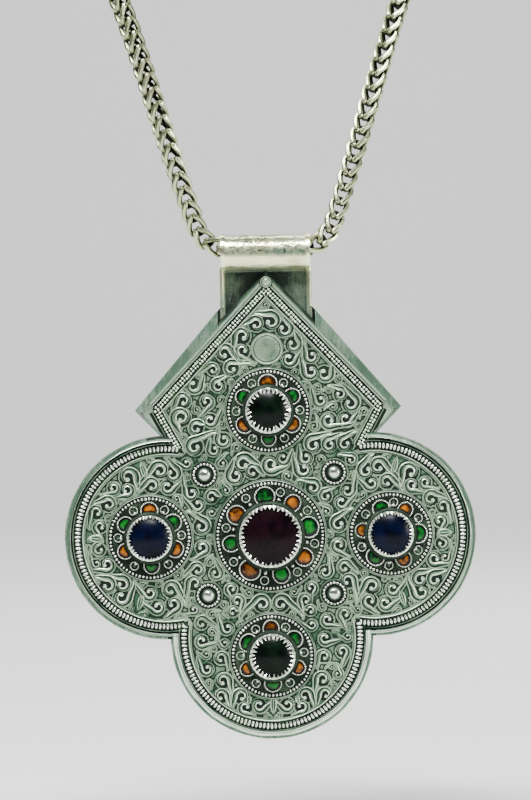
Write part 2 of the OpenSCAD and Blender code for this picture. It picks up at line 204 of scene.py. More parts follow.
# The rubbing lines run up and down: a pattern stretched most along z
STREAK_AXIS = (1.0, 6.0, 0.2)


def reach_of_sheet(level, clouds):
    def reach(tree, place):
        cloud = put(tree, "TexNoise", {}, {"Vector": place, "Scale": 1 / (SHEET_CLOUD_MM * MM), "Detail": 5.0})
        stretched = put(tree, "Mapping", {}, {"Vector": place, "Scale": STREAK_AXIS})
        streak = put(tree, "TexNoise", {}, {"Vector": stretched, "Scale": 1 / (STREAK_MM * MM), "Detail": 2.0})
        bevelled = put(tree, "Bevel", {"samples": 4}, {"Radius": EDGE_WEAR_MM * MM})
        true_normal = put(tree, "NewGeometry", {}, {}).outputs["True Normal"]
        flat = put(tree, "VectorMath", {"operation": "DOT_PRODUCT"}, {0: bevelled, 1: true_normal}).outputs[1]
        edge = put(tree, "Math", {"operation": "MULTIPLY_ADD"},
                   {0: flat, 1: -EDGE_REACH, 2: EDGE_REACH + level})
        clouded = put(tree, "Math", {"operation": "MULTIPLY_ADD"}, {0: cloud, 1: clouds, 2: -clouds / 2})
        streaked = put(tree, "Math", {"operation": "MULTIPLY_ADD"},
                       {0: streak, 1: STREAK_REACH, 2: -STREAK_REACH / 2})
        both = put(tree, "Math", {"operation": "ADD"}, {0: clouded, 1: streaked})
        return put(tree, "Math", {"operation": "ADD"}, {0: both, 1: edge})
    return reach


# Rolled sheet, tarnished grey-green and rubbed in fine lines: broad soft gleams, and brighter edges
sheet = worked_silver("silver_sheet_rubbed", "#142018", "#577360", "#cfe2cf", reach_of_sheet(0.5, clouds=0.6),
                      rough=0.36, stain="#b2c8ae", patches=0.4)

# %% [markdown]
# The tube over which the chain runs is the most rubbed part of all, with painted highlight bands along it, and
# the engraving is left only in its hollows, most of it at the left end. The tab below hangs behind the plate
# and is painted darker as shade, with a bright wire down each edge.

# %% Silver of the bail
TUBE_R = 4.9
# Painted highlight bands, bright and dark, over the tube's height, and how strong they are
BAND_TURNS, BAND_REACH = 1.85, 0.33
# Painted shade on the tab below the tube: where it starts under the axis, its fade, and how dark it gets
TAB_FROM, TAB_FADE, TAB_PAINTED_SHADE = 4.6, 0.8, -0.56
EDGE_WIRE_X, EDGE_WIRE_REACH = (10.9, 11.2), 0.5
# The engraving: size and width of its lines, and how dark it is at the left and at the right
CUT_MM, CUT_WIDTH, CUT_ENDS, CUT_REACH = 1.4, 0.036, (-5, 9), (-1.3, -0.4)


def reach_of_bail(tree, place):
    """Painted highlight bands and worn engraving on the tube, bright edge wires, painted shade on the tab."""
    axes = put(tree, "SeparateXYZ", {}, {"Vector": place})
    across, up = axes.outputs["X"], axes.outputs["Z"]
    turn = put(tree, "MapRange", {},
               {"Value": up, "From Min": -(BAIL_DROP + TUBE_R) * MM, "From Max": (TUBE_R - BAIL_DROP) * MM,
                "To Min": -BAND_TURNS * math.pi, "To Max": BAND_TURNS * math.pi})
    # Painted highlight: bright and dark bands up the tube, where the lamps' reflections would lie
    painted_band = put(tree, "Math", {"operation": "COSINE"}, {0: turn})
    wear_and_painted_light = put(tree, "Math", {"operation": "MULTIPLY_ADD"},
               {0: painted_band, 1: -BAND_REACH, 2: reach_of_sheet(0.9, clouds=1.2)(tree, place)})
    tab = -(BAIL_DROP + TAB_FROM) * MM
    # Painted shade: the tab below the tube turns darker
    painted_tab_shade = put(tree, "MapRange", {}, {"Value": up, "From Min": tab - TAB_FADE * MM, "From Max": tab,
                                           "To Min": TAB_PAINTED_SHADE, "To Max": 0.0})
    sideways = put(tree, "Math", {"operation": "ABSOLUTE"}, {0: across})
    edge = put(tree, "MapRange", {}, {"Value": sideways, "From Min": EDGE_WIRE_X[0] * MM,
                                      "From Max": EDGE_WIRE_X[1] * MM, "To Max": EDGE_WIRE_REACH})
    both = put(tree, "Math", {"operation": "ADD"}, {0: painted_tab_shade, 1: edge})
    plain = put(tree, "Math", {"operation": "ADD"}, {0: wear_and_painted_light, 1: both})
    twisted = put(tree, "TexNoise", {}, {"Vector": place, "Scale": 1 / (CUT_MM * MM), "Detail": 0.5,
                                         "Distortion": 1.8})
    cut = put(tree, "Math", {"operation": "COMPARE"}, {0: twisted, 1: 0.5, 2: CUT_WIDTH})
    left_over = put(tree, "MapRange", {}, {"Value": across, "From Min": CUT_ENDS[0] * MM,
                                           "From Max": CUT_ENDS[1] * MM, "To Min": CUT_REACH[0],
                                           "To Max": CUT_REACH[1]})
    upper = put(tree, "MapRange", {}, {"Value": up, "From Min": -(BAIL_DROP + 0.6) * MM,
                                       "From Max": (0.6 - BAIL_DROP) * MM})
    engraved = put(tree, "Math", {"operation": "MULTIPLY"}, {0: cut, 1: left_over})
    return put(tree, "Math", {"operation": "MULTIPLY_ADD"}, {0: engraved, 1: upper, 2: plain})


# Drawn tube, polished by the chain and by fingers: warm, nearly white painted highlights between browner bands
tube = worked_silver("silver_tube_warm_worn_painted_bands", "#14211b", "#788f78", "#fdffd4", reach_of_bail, rough=0.22,
                     stain="#b09a70", dent=0.25)

# %% Silver of the plate, and materials for the CAD nodes
PLATE_FACE = -(BAIL_REACH + FACE_FORWARD) * MM
GROUND_REACH, WIRE_BED_REACH = 0.75, 0.0


def reach_of_ground(tree, place):
    """Mid grey on the plate's face, and dark on the plain wire that the ridges and beads will cover."""
    forward = put(tree, "SeparateXYZ", {}, {"Vector": place}).outputs["Y"]
    return put(tree, "MapRange", {}, {"Value": forward, "From Min": PLATE_FACE - 0.35 * MM,
                                      "From Max": PLATE_FACE - 0.12 * MM, "To Min": WIRE_BED_REACH,
                                      "To Max": GROUND_REACH})


# Sheet worked with punches: a dull, soft grey-green that lets the scrolls stand out
ground = worked_silver("silver_plate_ground", PATINA, GREY, BRIGHT, reach_of_ground, rough=0.4)
for node, material in (("back_shell", sheet), ("bail", tube), ("clasp", tube), ("front_plate", ground)):
    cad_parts[node].material_slots[0].material = material
    print(node, "is", material.name)


# %% [markdown]
# ## Bench tools for meshes
# Each piece starts as a bmesh in bench coordinates. The helpers give vertices their reach, turn open strips
# to face the viewer, set copies of a small shape in their places, and put the finished mesh on the necklace
# as one object that rides with the pendant.

# %% Mesh helpers
SHARP_EDGE = math.radians(42)


def bench_mesh():
    bm = bmesh.new()
    bm.verts.layers.float.new("reach")
    return bm


def shade_by_height(bm, verts, low_h, low_reach, high_h, high_reach):
    layer = bm.verts.layers.float["reach"]
    for v in verts:
        share = min(1.0, max(0.0, (v.co.z - low_h) / (high_h - low_h)))
        v[layer] = low_reach + share * (high_reach - low_reach)


def face_up(bm, faces):
    if sum(f.normal.z * f.calc_area() for f in faces) < 0:
        bmesh.ops.reverse_faces(bm, faces=faces)


def set_copies(bm, template, matrices=(Matrix.Identity(4),)):
    """Adds one copy of the template bmesh to bm for each matrix, and frees the template."""
    scratch = bpy.data.meshes.new("scratch")
    template.to_mesh(scratch)
    template.free()
    before = Matrix.Identity(4)
    for matrix in matrices:
        scratch.transform(matrix @ before.inverted())
        bm.from_mesh(scratch)
        before = matrix
    bpy.data.meshes.remove(scratch)


def place_piece(bm, name, material, body="pendant", slot="setting_silver", matrix=BENCH):
    mesh = bpy.data.meshes.new(name)
    bmesh.ops.transform(bm, matrix=matrix, verts=bm.verts)
    bm.to_mesh(mesh)
    bm.free()
    mesh.polygons.foreach_set("use_smooth", [True] * len(mesh.polygons))
    mesh.set_sharp_from_angle(angle=SHARP_EDGE)
    mesh.materials.append(material)
    piece = bpy.data.objects.new(name, mesh)
    bpy.context.scene.collection.objects.link(piece)
    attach(piece, body)
    print(name, "-", sum(len(p.vertices) - 2 for p in mesh.polygons), "triangles")
    return piece


# %% [markdown]
# ## Sweeping a section
# Wires, ridges and scrolls are all one section drawn along a path. A path is a list of stations, each a
# matrix that holds the direction across the strip, the way along it and the place. The section's points lie
# across (u) and up (h). The first station's edge is extruded to the next one and carried there, again and
# again.

# %% Sweep
def station(point, across, width=1.0, height=1.0):
    along = Vector((-across.y, across.x))
    return Matrix((
        (across.x * width, along.x, 0, point.x),
        (across.y * width, along.y, 0, point.y),
        (0, 0, height, 0),
        (0, 0, 0, 1),
    ))


def sweep(bm, stations, section):
    """Draws the section, rows of u, h and reach, along the stations."""
    strip = bench_mesh()
    layer = strip.verts.layers.float["reach"]
    verts = []
    for u, h, reach in section:
        v = strip.verts.new(stations[0] @ Vector((u, 0, h)))
        v[layer] = reach
        verts.append(v)
    edges = [strip.edges.new(pair) for pair in zip(verts, verts[1:])]
    for before, after in zip(stations, stations[1:]):
        made = bmesh.ops.extrude_edge_only(strip, edges=edges)["geom"]
        verts = {g for g in made if isinstance(g, bmesh.types.BMVert)}
        edges = [g for g in made if isinstance(g, bmesh.types.BMEdge) and verts.issuperset(g.verts)]
        bmesh.ops.transform(strip, matrix=after @ before.inverted(), verts=list(verts))
    strip.normal_update()
    face_up(strip, strip.faces[:])
    set_copies(bm, strip)


# %% [markdown]
# ## Outline of the border wire
# The border wire follows the plate: two side lobes, a lower lobe and the pointed gable, which meet at
# notches. The same outline, moved in or out by a distance, carries the groove beside the wire and the plain
# line inside it.

# %% Border outline
SIDE_R, SIDE_X = 24.0, 28.0
LOW_R, LOW_Z = 23.8, 27.5
WIRE_PEAK_Z = 66.6
WIRE_CORNER = Vector((30.2, 34.6))
WIRE_LEAN = math.radians(28.6)


def turned(angle, length=1.0):
    return Vector((math.cos(angle), math.sin(angle))) * length


def mirrored(points):
    return [Vector((-p.x, p.y)) for p in points]


SIDE_NORMAL = Vector((WIRE_PEAK_Z - WIRE_CORNER.y, WIRE_CORNER.x)).normalized()
UNDER_NORMAL = Vector((math.cos(WIRE_LEAN), -math.sin(WIRE_LEAN)))


def outline_corners(grow):
    """The right half's peak, shoulder corner, upper notch and lower notch, for the outline grown by grow."""
    peak = Vector((0, WIRE_PEAK_Z + grow / SIDE_NORMAL.y))
    corner = WIRE_CORNER + grow * (SIDE_NORMAL + UNDER_NORMAL) / (1 + SIDE_NORMAL.dot(UNDER_NORMAL))
    down = Vector((-math.sin(WIRE_LEAN), -math.cos(WIRE_LEAN)))
    lobe, low = Vector((SIDE_X, 0)), Vector((0, -LOW_Z))
    off = corner - lobe
    reach = -off.dot(down) - math.sqrt(off.dot(down) ** 2 - off.length_squared + (SIDE_R + grow) ** 2)
    upper = corner + down * reach
    apart = (lobe - low).length
    base = ((LOW_R + grow) ** 2 - (SIDE_R + grow) ** 2 + apart ** 2) / (2 * apart)
    toward = (lobe - low).normalized()
    lower = low + toward * base + Vector((toward.y, -toward.x)) * math.sqrt((LOW_R + grow) ** 2 - base ** 2)
    return peak, corner, upper, lower


def arc(centre, start, end, radius, turn, step):
    """Points on the arc round centre from start to end, one way or the other, a step apart."""
    a = math.atan2(start.y - centre.y, start.x - centre.x)
    b = math.atan2(end.y - centre.y, end.x - centre.x)
    while (b - a) * turn < 0:
        b += turn * 2 * math.pi
    count = max(2, round(abs(b - a) * radius / step))
    return [centre + turned(a + (b - a) * i / count, radius) for i in range(count + 1)]


def straight(start, end, step):
    count = max(1, round((end - start).length / step))
    return [start.lerp(end, i / count) for i in range(count + 1)]


def outline_runs(grow, step):
    """The outline as runs of points: left and right gable sides, undersides and lobes, and the lower lobe."""
    peak, corner, upper, lower = outline_corners(grow)
    right = {
        "side": straight(peak, corner, step),
        "under": straight(corner, upper, step),
        "lobe": arc(Vector((SIDE_X, 0)), upper, lower, SIDE_R + grow, -1, step),
    }
    low = arc(Vector((0, -LOW_Z)), lower, Vector((-lower.x, lower.y)), LOW_R + grow, -1, step)
    return [("low", low)] + [
        (part, run) for part, points in right.items() for run in (points, mirrored(points))]


def stations_along(points):
    """Stations on a run of points, with the direction across it turned away from the middle of the plate."""
    made = []
    for i, p in enumerate(points):
        way = (points[min(i + 1, len(points) - 1)] - points[max(i - 1, 0)]).normalized()
        made.append(station(p, Vector((way.y, -way.x))))
    return made


print("Border corners, mm:", [tuple(round(c, 1) for c in p) for p in outline_corners(0)])


# %% [markdown]
# ## The bed of the border wire
# Beside the wire lie a dark groove, a thin plain line on the inside and a dimmer one outside, and the flat
# margin under the folded rim, painted dark as the rim's shadow. One low section makes them all.

# %% Border bed
# Rows of u, the distance outwards from the wire's middle, h and reach
# Outside the wire, from u 1.46 on, the margin's reach of 0 is painted shadow of the folded rim
BED = [
    (-1.78, 0.02, 0.3), (-1.7, 0.05, 0.0), (-1.6, 0.05, 0.0), (-1.52, 0.2, 0.9), (-1.45, 0.26, 1.0),
    (-1.28, 0.26, 1.0), (-1.2, 0.2, 0.8), (-1.12, 0.05, 0.0), (-0.95, 0.06, 0.0), (0.95, 0.06, 0.0),
    (1.1, 0.06, 0.0), (1.2, 0.26, 0.6), (1.36, 0.26, 0.6), (1.46, 0.06, 0.0), (1.9, 0.05, 0.0),
    (2.2, 0.04, 0.0),
]
BED_STEP = 0.6
PLATE_MIDDLE = Vector((0, 12))


def facing_out(part, points):
    """The points in the order that turns u away from the middle of their own part of the plate."""
    centre = PLATE_MIDDLE
    if part == "lobe":
        centre = Vector((math.copysign(SIDE_X, points[len(points) // 2].x), 0))
    if part == "low":
        centre = Vector((0, -LOW_Z))
    way = points[1] - points[0]
    return points if Vector((way.y, -way.x)).dot(points[0] - centre) > 0 else points[::-1]


bed = bench_mesh()
for part, points in outline_runs(0, BED_STEP):
    sweep(bed, stations_along(facing_out(part, points)), BED)
place_piece(bed, "border_bed", chased, slot="plate_silver")

# %% [markdown]
# ## Folded rim
# The back sheet's edge is folded over the front plate in stretches of flat strip, hammered down by hand. Its
# inner edge is rubbed bright, its outer edge rounds away and is painted darker there as shade, and the width
# wanders a little. Each stretch has its own painted shade, and along the outline the strips are painted
# lighter or darker as the light falls. Where a stretch ends at a notch it was cut and stands up slightly.

# %% Section of the rim
RIM_STEP = 0.8
# Rows of u, h and reach, as in the bed. Over the outer slope the reach falls, as painted shade where the strip
# turns away from the light
RIM = [
    (1.26, 0.3, 0.0), (1.28, 0.72, 0.8), (1.36, 0.8, 1.4), (1.5, 0.77, 1.3), (1.62, 0.71, 0.3),
    (1.72, 0.71, 0.35), (2.0, 0.74, 0.85), (2.4, 0.72, 0.75), (2.7, 0.64, 0.5), (3.0, 0.5, 0.25),
    (3.3, 0.2, 0.1), (3.5, -0.5, 0.05),
]
# Where the strip starts to slope down, and how wide its flat part is
SLOPE_U, FLAT_WIDTH = 2.7, 1.44
# Painted shade on each stretch, darkest on the left and the gable and least on the lower lobe, and how much
# further out its inner edge lies, which leaves a dark groove beside the border wire
RIM_PAINTED_SHADE = {"low": -0.15, "left": -0.5, "right": -0.3, "gable": -0.45}
RIM_SHIFT = {"low": 0.25, "left": 0.7, "right": 0.8, "gable": 0.0}
# At each end the last four stations stand up
END_LIFT, END_STATIONS = 0.5, 4


def rim_section(stretch):
    # The stretch's painted shade, and the shift of its inner edge
    tone, shift = RIM_PAINTED_SHADE[stretch], RIM_SHIFT[stretch]
    return [(u + shift * max(0.0, (SLOPE_U - u) / FLAT_WIDTH), h, reach + tone * min(1.0, 2 * reach))
            for u, h, reach in RIM]


def wavy_stations(points, seed):
    """Stations whose width wanders and whose last few millimetres stand up."""
    places = stations_along(points)
    made = []
    for i, place in enumerate(places):
        s = i * RIM_STEP
        wander = 1 + 0.008 * math.sin(s * 0.37 + seed) + 0.006 * math.sin(s * 0.91 + 2 * seed)
        lift = END_LIFT * max(0.0, 1 - min(i, len(places) - 1 - i) / END_STATIONS) ** 2
        move = Matrix.Diagonal((wander, 1, 1 + 0.06 * math.sin(s * 0.6 + seed), 1))
        made.append(Matrix.Translation((0, 0, lift)) @ place @ move)
    return made


# %% Rim strips
rim = bench_mesh()
gable = {}
for seed, (part, points) in enumerate(outline_runs(0, RIM_STEP)):
    if part == "side":
        gable[points[-1].x > 0] = facing_out(part, points)
    if part in ("lobe", "low"):
        stretch = part if part == "low" else ("right" if points[len(points) // 2].x > 0 else "left")
        sweep(rim, wavy_stations(facing_out(part, points[3:-3]), seed), rim_section(stretch))
# The gable's strip is one piece, folded at the peak, where its section is as wide as a mitre
over = [stations_along(gable[side]) for side in (False, True)]
if gable[False][0].x == 0:
    over.reverse()
mitre = station(Vector((0, WIRE_PEAK_Z)), Vector((0, 1)), 1 / SIDE_NORMAL.y)
sweep(rim, over[0][:-1] + [mitre] + over[1][1:], rim_section("gable"))

# The shell's side walls stop short of the bail's tab; a dark sheet set in the slit between them is painted
# shade
SLIT_LEFT, SLIT_RIGHT, SLIT_LOW, SLIT_H = 11.9, 13.5, 48.5, -2.2
SHELL_PEAK_Z, SHELL_CORNER = 76.4, Vector((36, 34.4))
fall = (SHELL_PEAK_Z - SHELL_CORNER.y) / SHELL_CORNER.x
slit_top = SHELL_PEAK_Z - fall * (SLIT_LEFT + SLIT_RIGHT) / 2
for side in (-1, 1):
    bmesh.ops.create_grid(rim, x_segments=1, y_segments=1, size=0.5, matrix=Matrix((
        (side * (SLIT_RIGHT - SLIT_LEFT), 0, 0, side * (SLIT_LEFT + SLIT_RIGHT) / 2),
        (-fall * (SLIT_RIGHT - SLIT_LEFT), slit_top - SLIT_LOW, 0, (slit_top + SLIT_LOW) / 2),
        (0, 0, 1, SLIT_H), (0, 0, 0, 1))))

# %% Silver of the rim
# Painted light and shade along the strips: darker where the lobes are widest, lighter above and below
SHADED_Z, SHADED_HALF, LIT_FROM, MOST_LIT = 4, 6, 22, 2.2


def reach_of_strips(tree, place):
    up = put(tree, "SeparateXYZ", {}, {"Vector": place}).outputs["Z"]
    off = put(tree, "Math", {"operation": "ADD"}, {0: up, 1: (BAIL_DROP + BAIL_UP - SHADED_Z) * MM})
    apart = put(tree, "Math", {"operation": "ABSOLUTE"}, {0: off})
    # Painted shade near the lobes' widest part, painted light away from it
    painted_light_along_outline = put(tree, "MapRange", {}, {"Value": apart, "From Min": SHADED_HALF * MM,
                                        "From Max": LIT_FROM * MM, "To Min": 1.0, "To Max": MOST_LIT})
    return put(tree, "Math", {"operation": "MULTIPLY"}, {0: reach_of_vertices(tree, place), 1: painted_light_along_outline})


# Strip beaten down with a small hammer: flat facets that catch the light one by one, over painted light and
# shade
strip_silver = worked_silver("silver_strip_hammered_painted_light", "#101c14", "#678a70", "#e6f6e2", reach_of_strips,
                             dent=0.25)
place_piece(rim, "rim_strips", strip_silver, slot="back_silver")

# %% [markdown]
# ## Milled and beaded border
# Round the lobes the border is a milled wire: close-set ridges across it, worn bright. On the gable the same
# wire shows as pairs of small beads. One ridge and one bead are shaped from a ball, and copies of them are
# set along the outline, each a little off in size and place, as wear and soldering left them. A bead's foot
# stays dark.

# %% Border ridges and beads
RIDGE_PITCH = 1.03
RIDGE_HALF = (0.92, 0.4, 0.46)
BEAD_R, BEAD_PITCH = 0.42, 0.88
BORDER_H = 0.56


def ball(bm, centre, radii, facets=8, rings=6):
    matrix = Matrix.Translation(centre) @ Matrix.Diagonal((*radii, 1))
    made = bmesh.ops.create_uvsphere(bm, u_segments=facets, v_segments=rings, radius=1.0, matrix=matrix)
    return made["verts"]


def on_plate(p, angle):
    return Matrix.Translation((p.x, p.y, 0)) @ Matrix.Rotation(angle, 4, "Z")


ridge, bead = bench_mesh(), bench_mesh()
crest = Vector((0, 0, BORDER_H))
shade_by_height(ridge, ball(ridge, crest, RIDGE_HALF), BORDER_H - 0.1, 0.0, BORDER_H + 0.33, 1.1)
shade_by_height(bead, ball(bead, crest, (BEAD_R,) * 3), BORDER_H, 0.0, BORDER_H + 0.36, 1.1)
chance = random.Random(3)
ridge_places, bead_places = [], []
border = [run for run in outline_runs(0, RIDGE_PITCH) if run[0] in ("lobe", "low")]
border += [run for run in outline_runs(0, BEAD_PITCH) if run[0] in ("side", "under")]
for part, points in border:
    for a, b in zip(points, points[1:]):
        way = b - a
        place = on_plate(a + way / 2, math.atan2(-way.x, way.y))
        if part in ("lobe", "low"):
            lean, size = chance.uniform(-0.12, 0.12), chance.uniform(0.9, 1.03)
            ridge_places.append(place @ Matrix.Rotation(lean, 4, "Z") @ Matrix.Diagonal((size, 1, size, 1)))
            continue
        for side in (-1, 1):
            size = chance.uniform(0.84, 1.06)
            off = side * BEAD_R + chance.uniform(-0.06, 0.06)
            nudge = Matrix.Translation((off, chance.uniform(-0.1, 0.1), 0))
            bead_places.append(place @ nudge @ Matrix.Diagonal((size, size, size, 1)))
for name, template, places, material in (("border_ridges", ridge, ridge_places, bright_wire),
                                         ("border_beads", bead, bead_places, chased)):
    print(name, "are", len(places), "in all")
    row = bench_mesh()
    set_copies(row, template, places)
    place_piece(row, name, material, slot="plate_silver")

# %% [markdown]
# ## Chased scrolls
# The ground is filled with comma-shaped leaves, or volutes: a stem swings in, runs round its eye, tightens
# and ends in a small round knob. Each is a light ridge on the outside of the curl, a broad leaf body that
# rises to a second ridge inside, a fine cut along it, and a dark pit punched into the middle. So the volute
# is a section too. Its path is a bent stem that meets a spiral where both have the same direction.

# %% Path of a volute
# Rows of u, the share of the leaf's width from the outside of the curl inwards, h and reach
VOLUTE = [
    (-0.1, 0.03, 0.1), (-0.03, 0.06, 0.7), (0.02, 0.18, 1.5), (0.08, 0.17, 1.4), (0.12, 0.06, 0.0),
    (0.2, 0.01, -0.25), (0.28, 0.03, 0.05), (0.38, 0.06, 0.4), (0.52, 0.11, 0.62), (0.63, 0.2, 0.95),
    (0.73, 0.28, 1.5), (0.82, 0.27, 1.4), (0.9, 0.14, 0.4), (0.94, 0.03, -0.2), (1.02, 0.02, -0.2),
]
STEM_SWING = math.radians(46)
STEM_STEP, SPIRAL_STEPS = 0.35, 24
# Share of the radius lost by the spiral's end, share of the turn that is drawn, and the leaf's width in radii
TIGHTEN, TURN_SHARE, RIBBON_SHARE = 0.56, 0.8, 0.68


def hermite(a, b, way_a, way_b, t):
    return (a * (2 * t ** 3 - 3 * t ** 2 + 1) + way_a * (t ** 3 - 2 * t ** 2 + t)
            + b * (3 * t ** 2 - 2 * t ** 3) + way_b * (t ** 3 - t ** 2))


def rotated(v, angle):
    c, s = math.cos(angle), math.sin(angle)
    return Vector((c * v.x - s * v.y, s * v.x + c * v.y))


def volute_stations(stem, eye, radius, turn):
    side = math.copysign(1.0, turn)
    from_eye = stem - eye
    start = math.atan2(from_eye.y, from_eye.x) + side * math.acos(min(1.0, radius / from_eye.length))
    touch = eye + turned(start, radius)
    run = touch - stem
    leave = rotated(run, -side * STEM_SWING)
    made = []
    steps = max(4, round(run.length / STEM_STEP))
    for i in range(steps):
        t = i / steps
        p = hermite(stem, touch, leave, run, t)
        way = (hermite(stem, touch, leave, run, t + 0.02) - p).normalized()
        inward = Vector((-way.y, way.x)) * side
        made.append(station(p, inward, RIBBON_SHARE * radius * (0.2 + 0.8 * t ** 0.8), 0.6 + 0.4 * t))
    for i in range(SPIRAL_STEPS + 1):
        t = i / SPIRAL_STEPS
        now = radius * (1 - TIGHTEN * t ** 1.15)
        p = eye + turned(start + math.radians(turn) * TURN_SHARE * t, now)
        made.append(station(p, (eye - p).normalized(), RIBBON_SHARE * now * (1 - 0.2 * t), 1 - 0.15 * t))
    return made


# %% One volute
# The spiral's radius against the one in the tables, and the knob's against the spiral's
CURL_GROW, KNOB = 1.3, 0.22
VEIN = [(-0.5, 0.0, -0.2), (0.5, 0.0, -0.2)]
VEIN_AT, VEIN_H, VEIN_WIDTH = 0.6, 0.2, 0.17


def flat_mark(bm, matrix, segments):
    """A flat dark disc or three-cornered mark, carried by matrix."""
    made = bmesh.ops.create_circle(bm, cap_ends=True, segments=segments, radius=1.0, matrix=matrix)
    face_up(bm, list({f for v in made["verts"] for f in v.link_faces}))


def pit(bm, eye, radius):
    """The dark punched ground inside a curl, each at its own height, so that no two lie in one plane."""
    height = 0.012 + 0.02 * ((3.713 * eye.x + 1.931 * eye.y) % 1)
    flat_mark(bm, Matrix.Translation((eye.x, eye.y, height)) @ Matrix.Diagonal((radius, radius, 1, 1)), 20)


def vein(bm, path):
    """A thin dark cut along the leaf, from the root until it fades in the curl."""
    stem = path[2:len(path) - SPIRAL_STEPS // 2]
    made = []
    for i, place in enumerate(stem):
        middle = place @ Vector((VEIN_AT, 0, VEIN_H))
        fine = VEIN_WIDTH * math.sin(math.pi * (i + 0.5) / len(stem))
        flat = station(middle.xy, place.col[0].xy.normalized(), fine)
        made.append(Matrix.Translation((0, 0, middle.z)) @ flat)
    sweep(bm, made, VEIN)


def curl(bm, path, eye, radius):
    """One volute: the pit, the leaf along the path, its vein, and the knob at the leaf's end."""
    pit(bm, eye, radius * 0.95)
    sweep(bm, path, VOLUTE)
    vein(bm, path)
    end = path[-1] @ Vector((0.75, 0, 0.06))
    knob = ball(bm, end, (KNOB * radius, KNOB * radius, 0.2), rings=4)
    shade_by_height(bm, knob, 0.08, 0.0, 0.22, 1.15)


# %% Buds
WEDGE_H = 0.02
# Rows of u, the share of the bud's width from its middle, h and reach
DROP = [
    (-0.72, 0.02, 0.6), (-0.62, 0.02, 0.0), (-0.5, 0.03, 0.0), (-0.42, 0.14, 0.9), (-0.34, 0.16, 1.0),
    (-0.24, 0.1, 0.3), (-0.1, 0.09, 0.4), (0.0, 0.14, 0.85), (0.1, 0.09, 0.4), (0.24, 0.1, 0.3),
    (0.34, 0.16, 1.0), (0.42, 0.14, 0.9), (0.5, 0.03, 0.0), (0.62, 0.02, 0.0), (0.72, 0.02, 0.6),
]


def wedge(bm, p, way, length, width):
    """A dark three-cornered punch mark, pointing along way."""
    # Before it is stretched, the three-cornered mark is 1.5 long and 1.73 wide
    stretch = Matrix.Diagonal((length / 1.5, width / 1.73, 1, 1))
    upright = Matrix.Rotation(math.radians(90), 4, "Z")
    at = on_plate(p, math.atan2(way.y, way.x))
    flat_mark(bm, Matrix.Translation((0, 0, WEDGE_H)) @ at @ stretch @ upright, 3)


def drop(bm, root, way, length, width):
    """A bud-shaped leaf with a ridge down its middle, from its pointed root along way."""
    way = way.normalized()
    across = Vector((way.y, -way.x))
    stations = []
    for i in range(9):
        t = i / 8
        swell = math.sin(math.pi * min(1.0, t ** 0.8 * 0.97 + 0.03)) ** 0.8
        stations.append(station(root + way * length * t, across, width * max(0.12, swell), 0.9 + 0.6 * swell))
    sweep(bm, stations, DROP)


# %% [markdown]
# Each row places one volute: where its stem starts, where its eye is, the radius of its curl and how far it
# turns, in millimetres and degrees, anticlockwise when positive. The side lobes mirror each other, and so do
# the halves of the lower lobe. The gable's were cut freehand and differ from side to side.

# %% Places of the volutes
SIDE_VOLUTES = [
    (-35.6, 12.5, -38.0, 16.6, 2.43, 330), (-41.6, 11.2, -38.5, 13.1, 1.89, 400),
    (-45.9, 12.0, -42.1, 13.7, 1.62, 380), (-47.9, 9.2, -43.5, 9.3, 2.03, -330),
    (-48.8, 2.5, -46.8, 7.2, 1.89, -300), (-45.3, -0.3, -45.9, 3.3, 1.76, -330),
    (-35.7, 12.3, -29.5, 18.2, 2.29, -360), (-36.2, 11.2, -31.7, 14.1, 2.03, -330),
    (-28.2, 21.8, -26.1, 17.2, 2.16, -340), (-23.7, 15.6, -27.5, 13.7, 1.89, -330),
    (-23.1, 17.2, -21.1, 11.9, 1.89, 330), (-23.5, 11.8, -19.4, 8.7, 1.89, 330),
    (-22.5, 7.2, -18.5, 2.9, 2.16, -330), (-36.6, -11.8, -32.8, -14.9, 1.89, 360),
    (-35.4, -16.6, -30.7, -18.7, 1.89, 360), (-23.2, -18.2, -27.2, -14.0, 2.16, 340),
    (-29.0, -21.6, -26.5, -18.0, 2.03, 340), (-23.0, -18.8, -20.7, -12.5, 2.03, -300),
    (-23.6, -10.6, -19.8, -8.8, 1.89, -340), (-21.7, -6.1, -18.4, -2.8, 1.89, 340),
    (-45.2, -0.5, -46.3, -2.9, 1.73, 330), (-48.8, -3.2, -47.1, -6.7, 1.35, 330),
    (-48.7, -8.0, -44.2, -7.0, 2.03, 380), (-47.7, -10.2, -44.2, -12.6, 2.16, -330),
    (-43.4, -10.1, -40.2, -12.4, 2.16, -360), (-36.9, -11.2, -40.4, -15.9, 2.29, -330),
]
LOW_VOLUTES = [
    (-11.3, -42.7, -13.4, -38.9, 2.03, 330), (-11.9, -46.0, -14.1, -43.0, 1.89, 330),
    (-11.1, -46.2, -8.6, -43.2, 2.03, -330), (-4.9, -48.5, -7.6, -46.2, 1.89, -330),
    (-0.2, -44.3, -3.8, -45.7, 1.89, -340), (-12.0, -36.2, -13.9, -32.8, 1.76, 330),
    (-8.7, -22.5, -2.5, -18.3, 2.29, -360), (-8.7, -21.2, -9.2, -17.4, 1.76, 360),
    (-9.0, -20.4, -10.5, -20.3, 1.49, 330), (-11.1, -16.5, -10.8, -14.1, 1.62, -330),
]
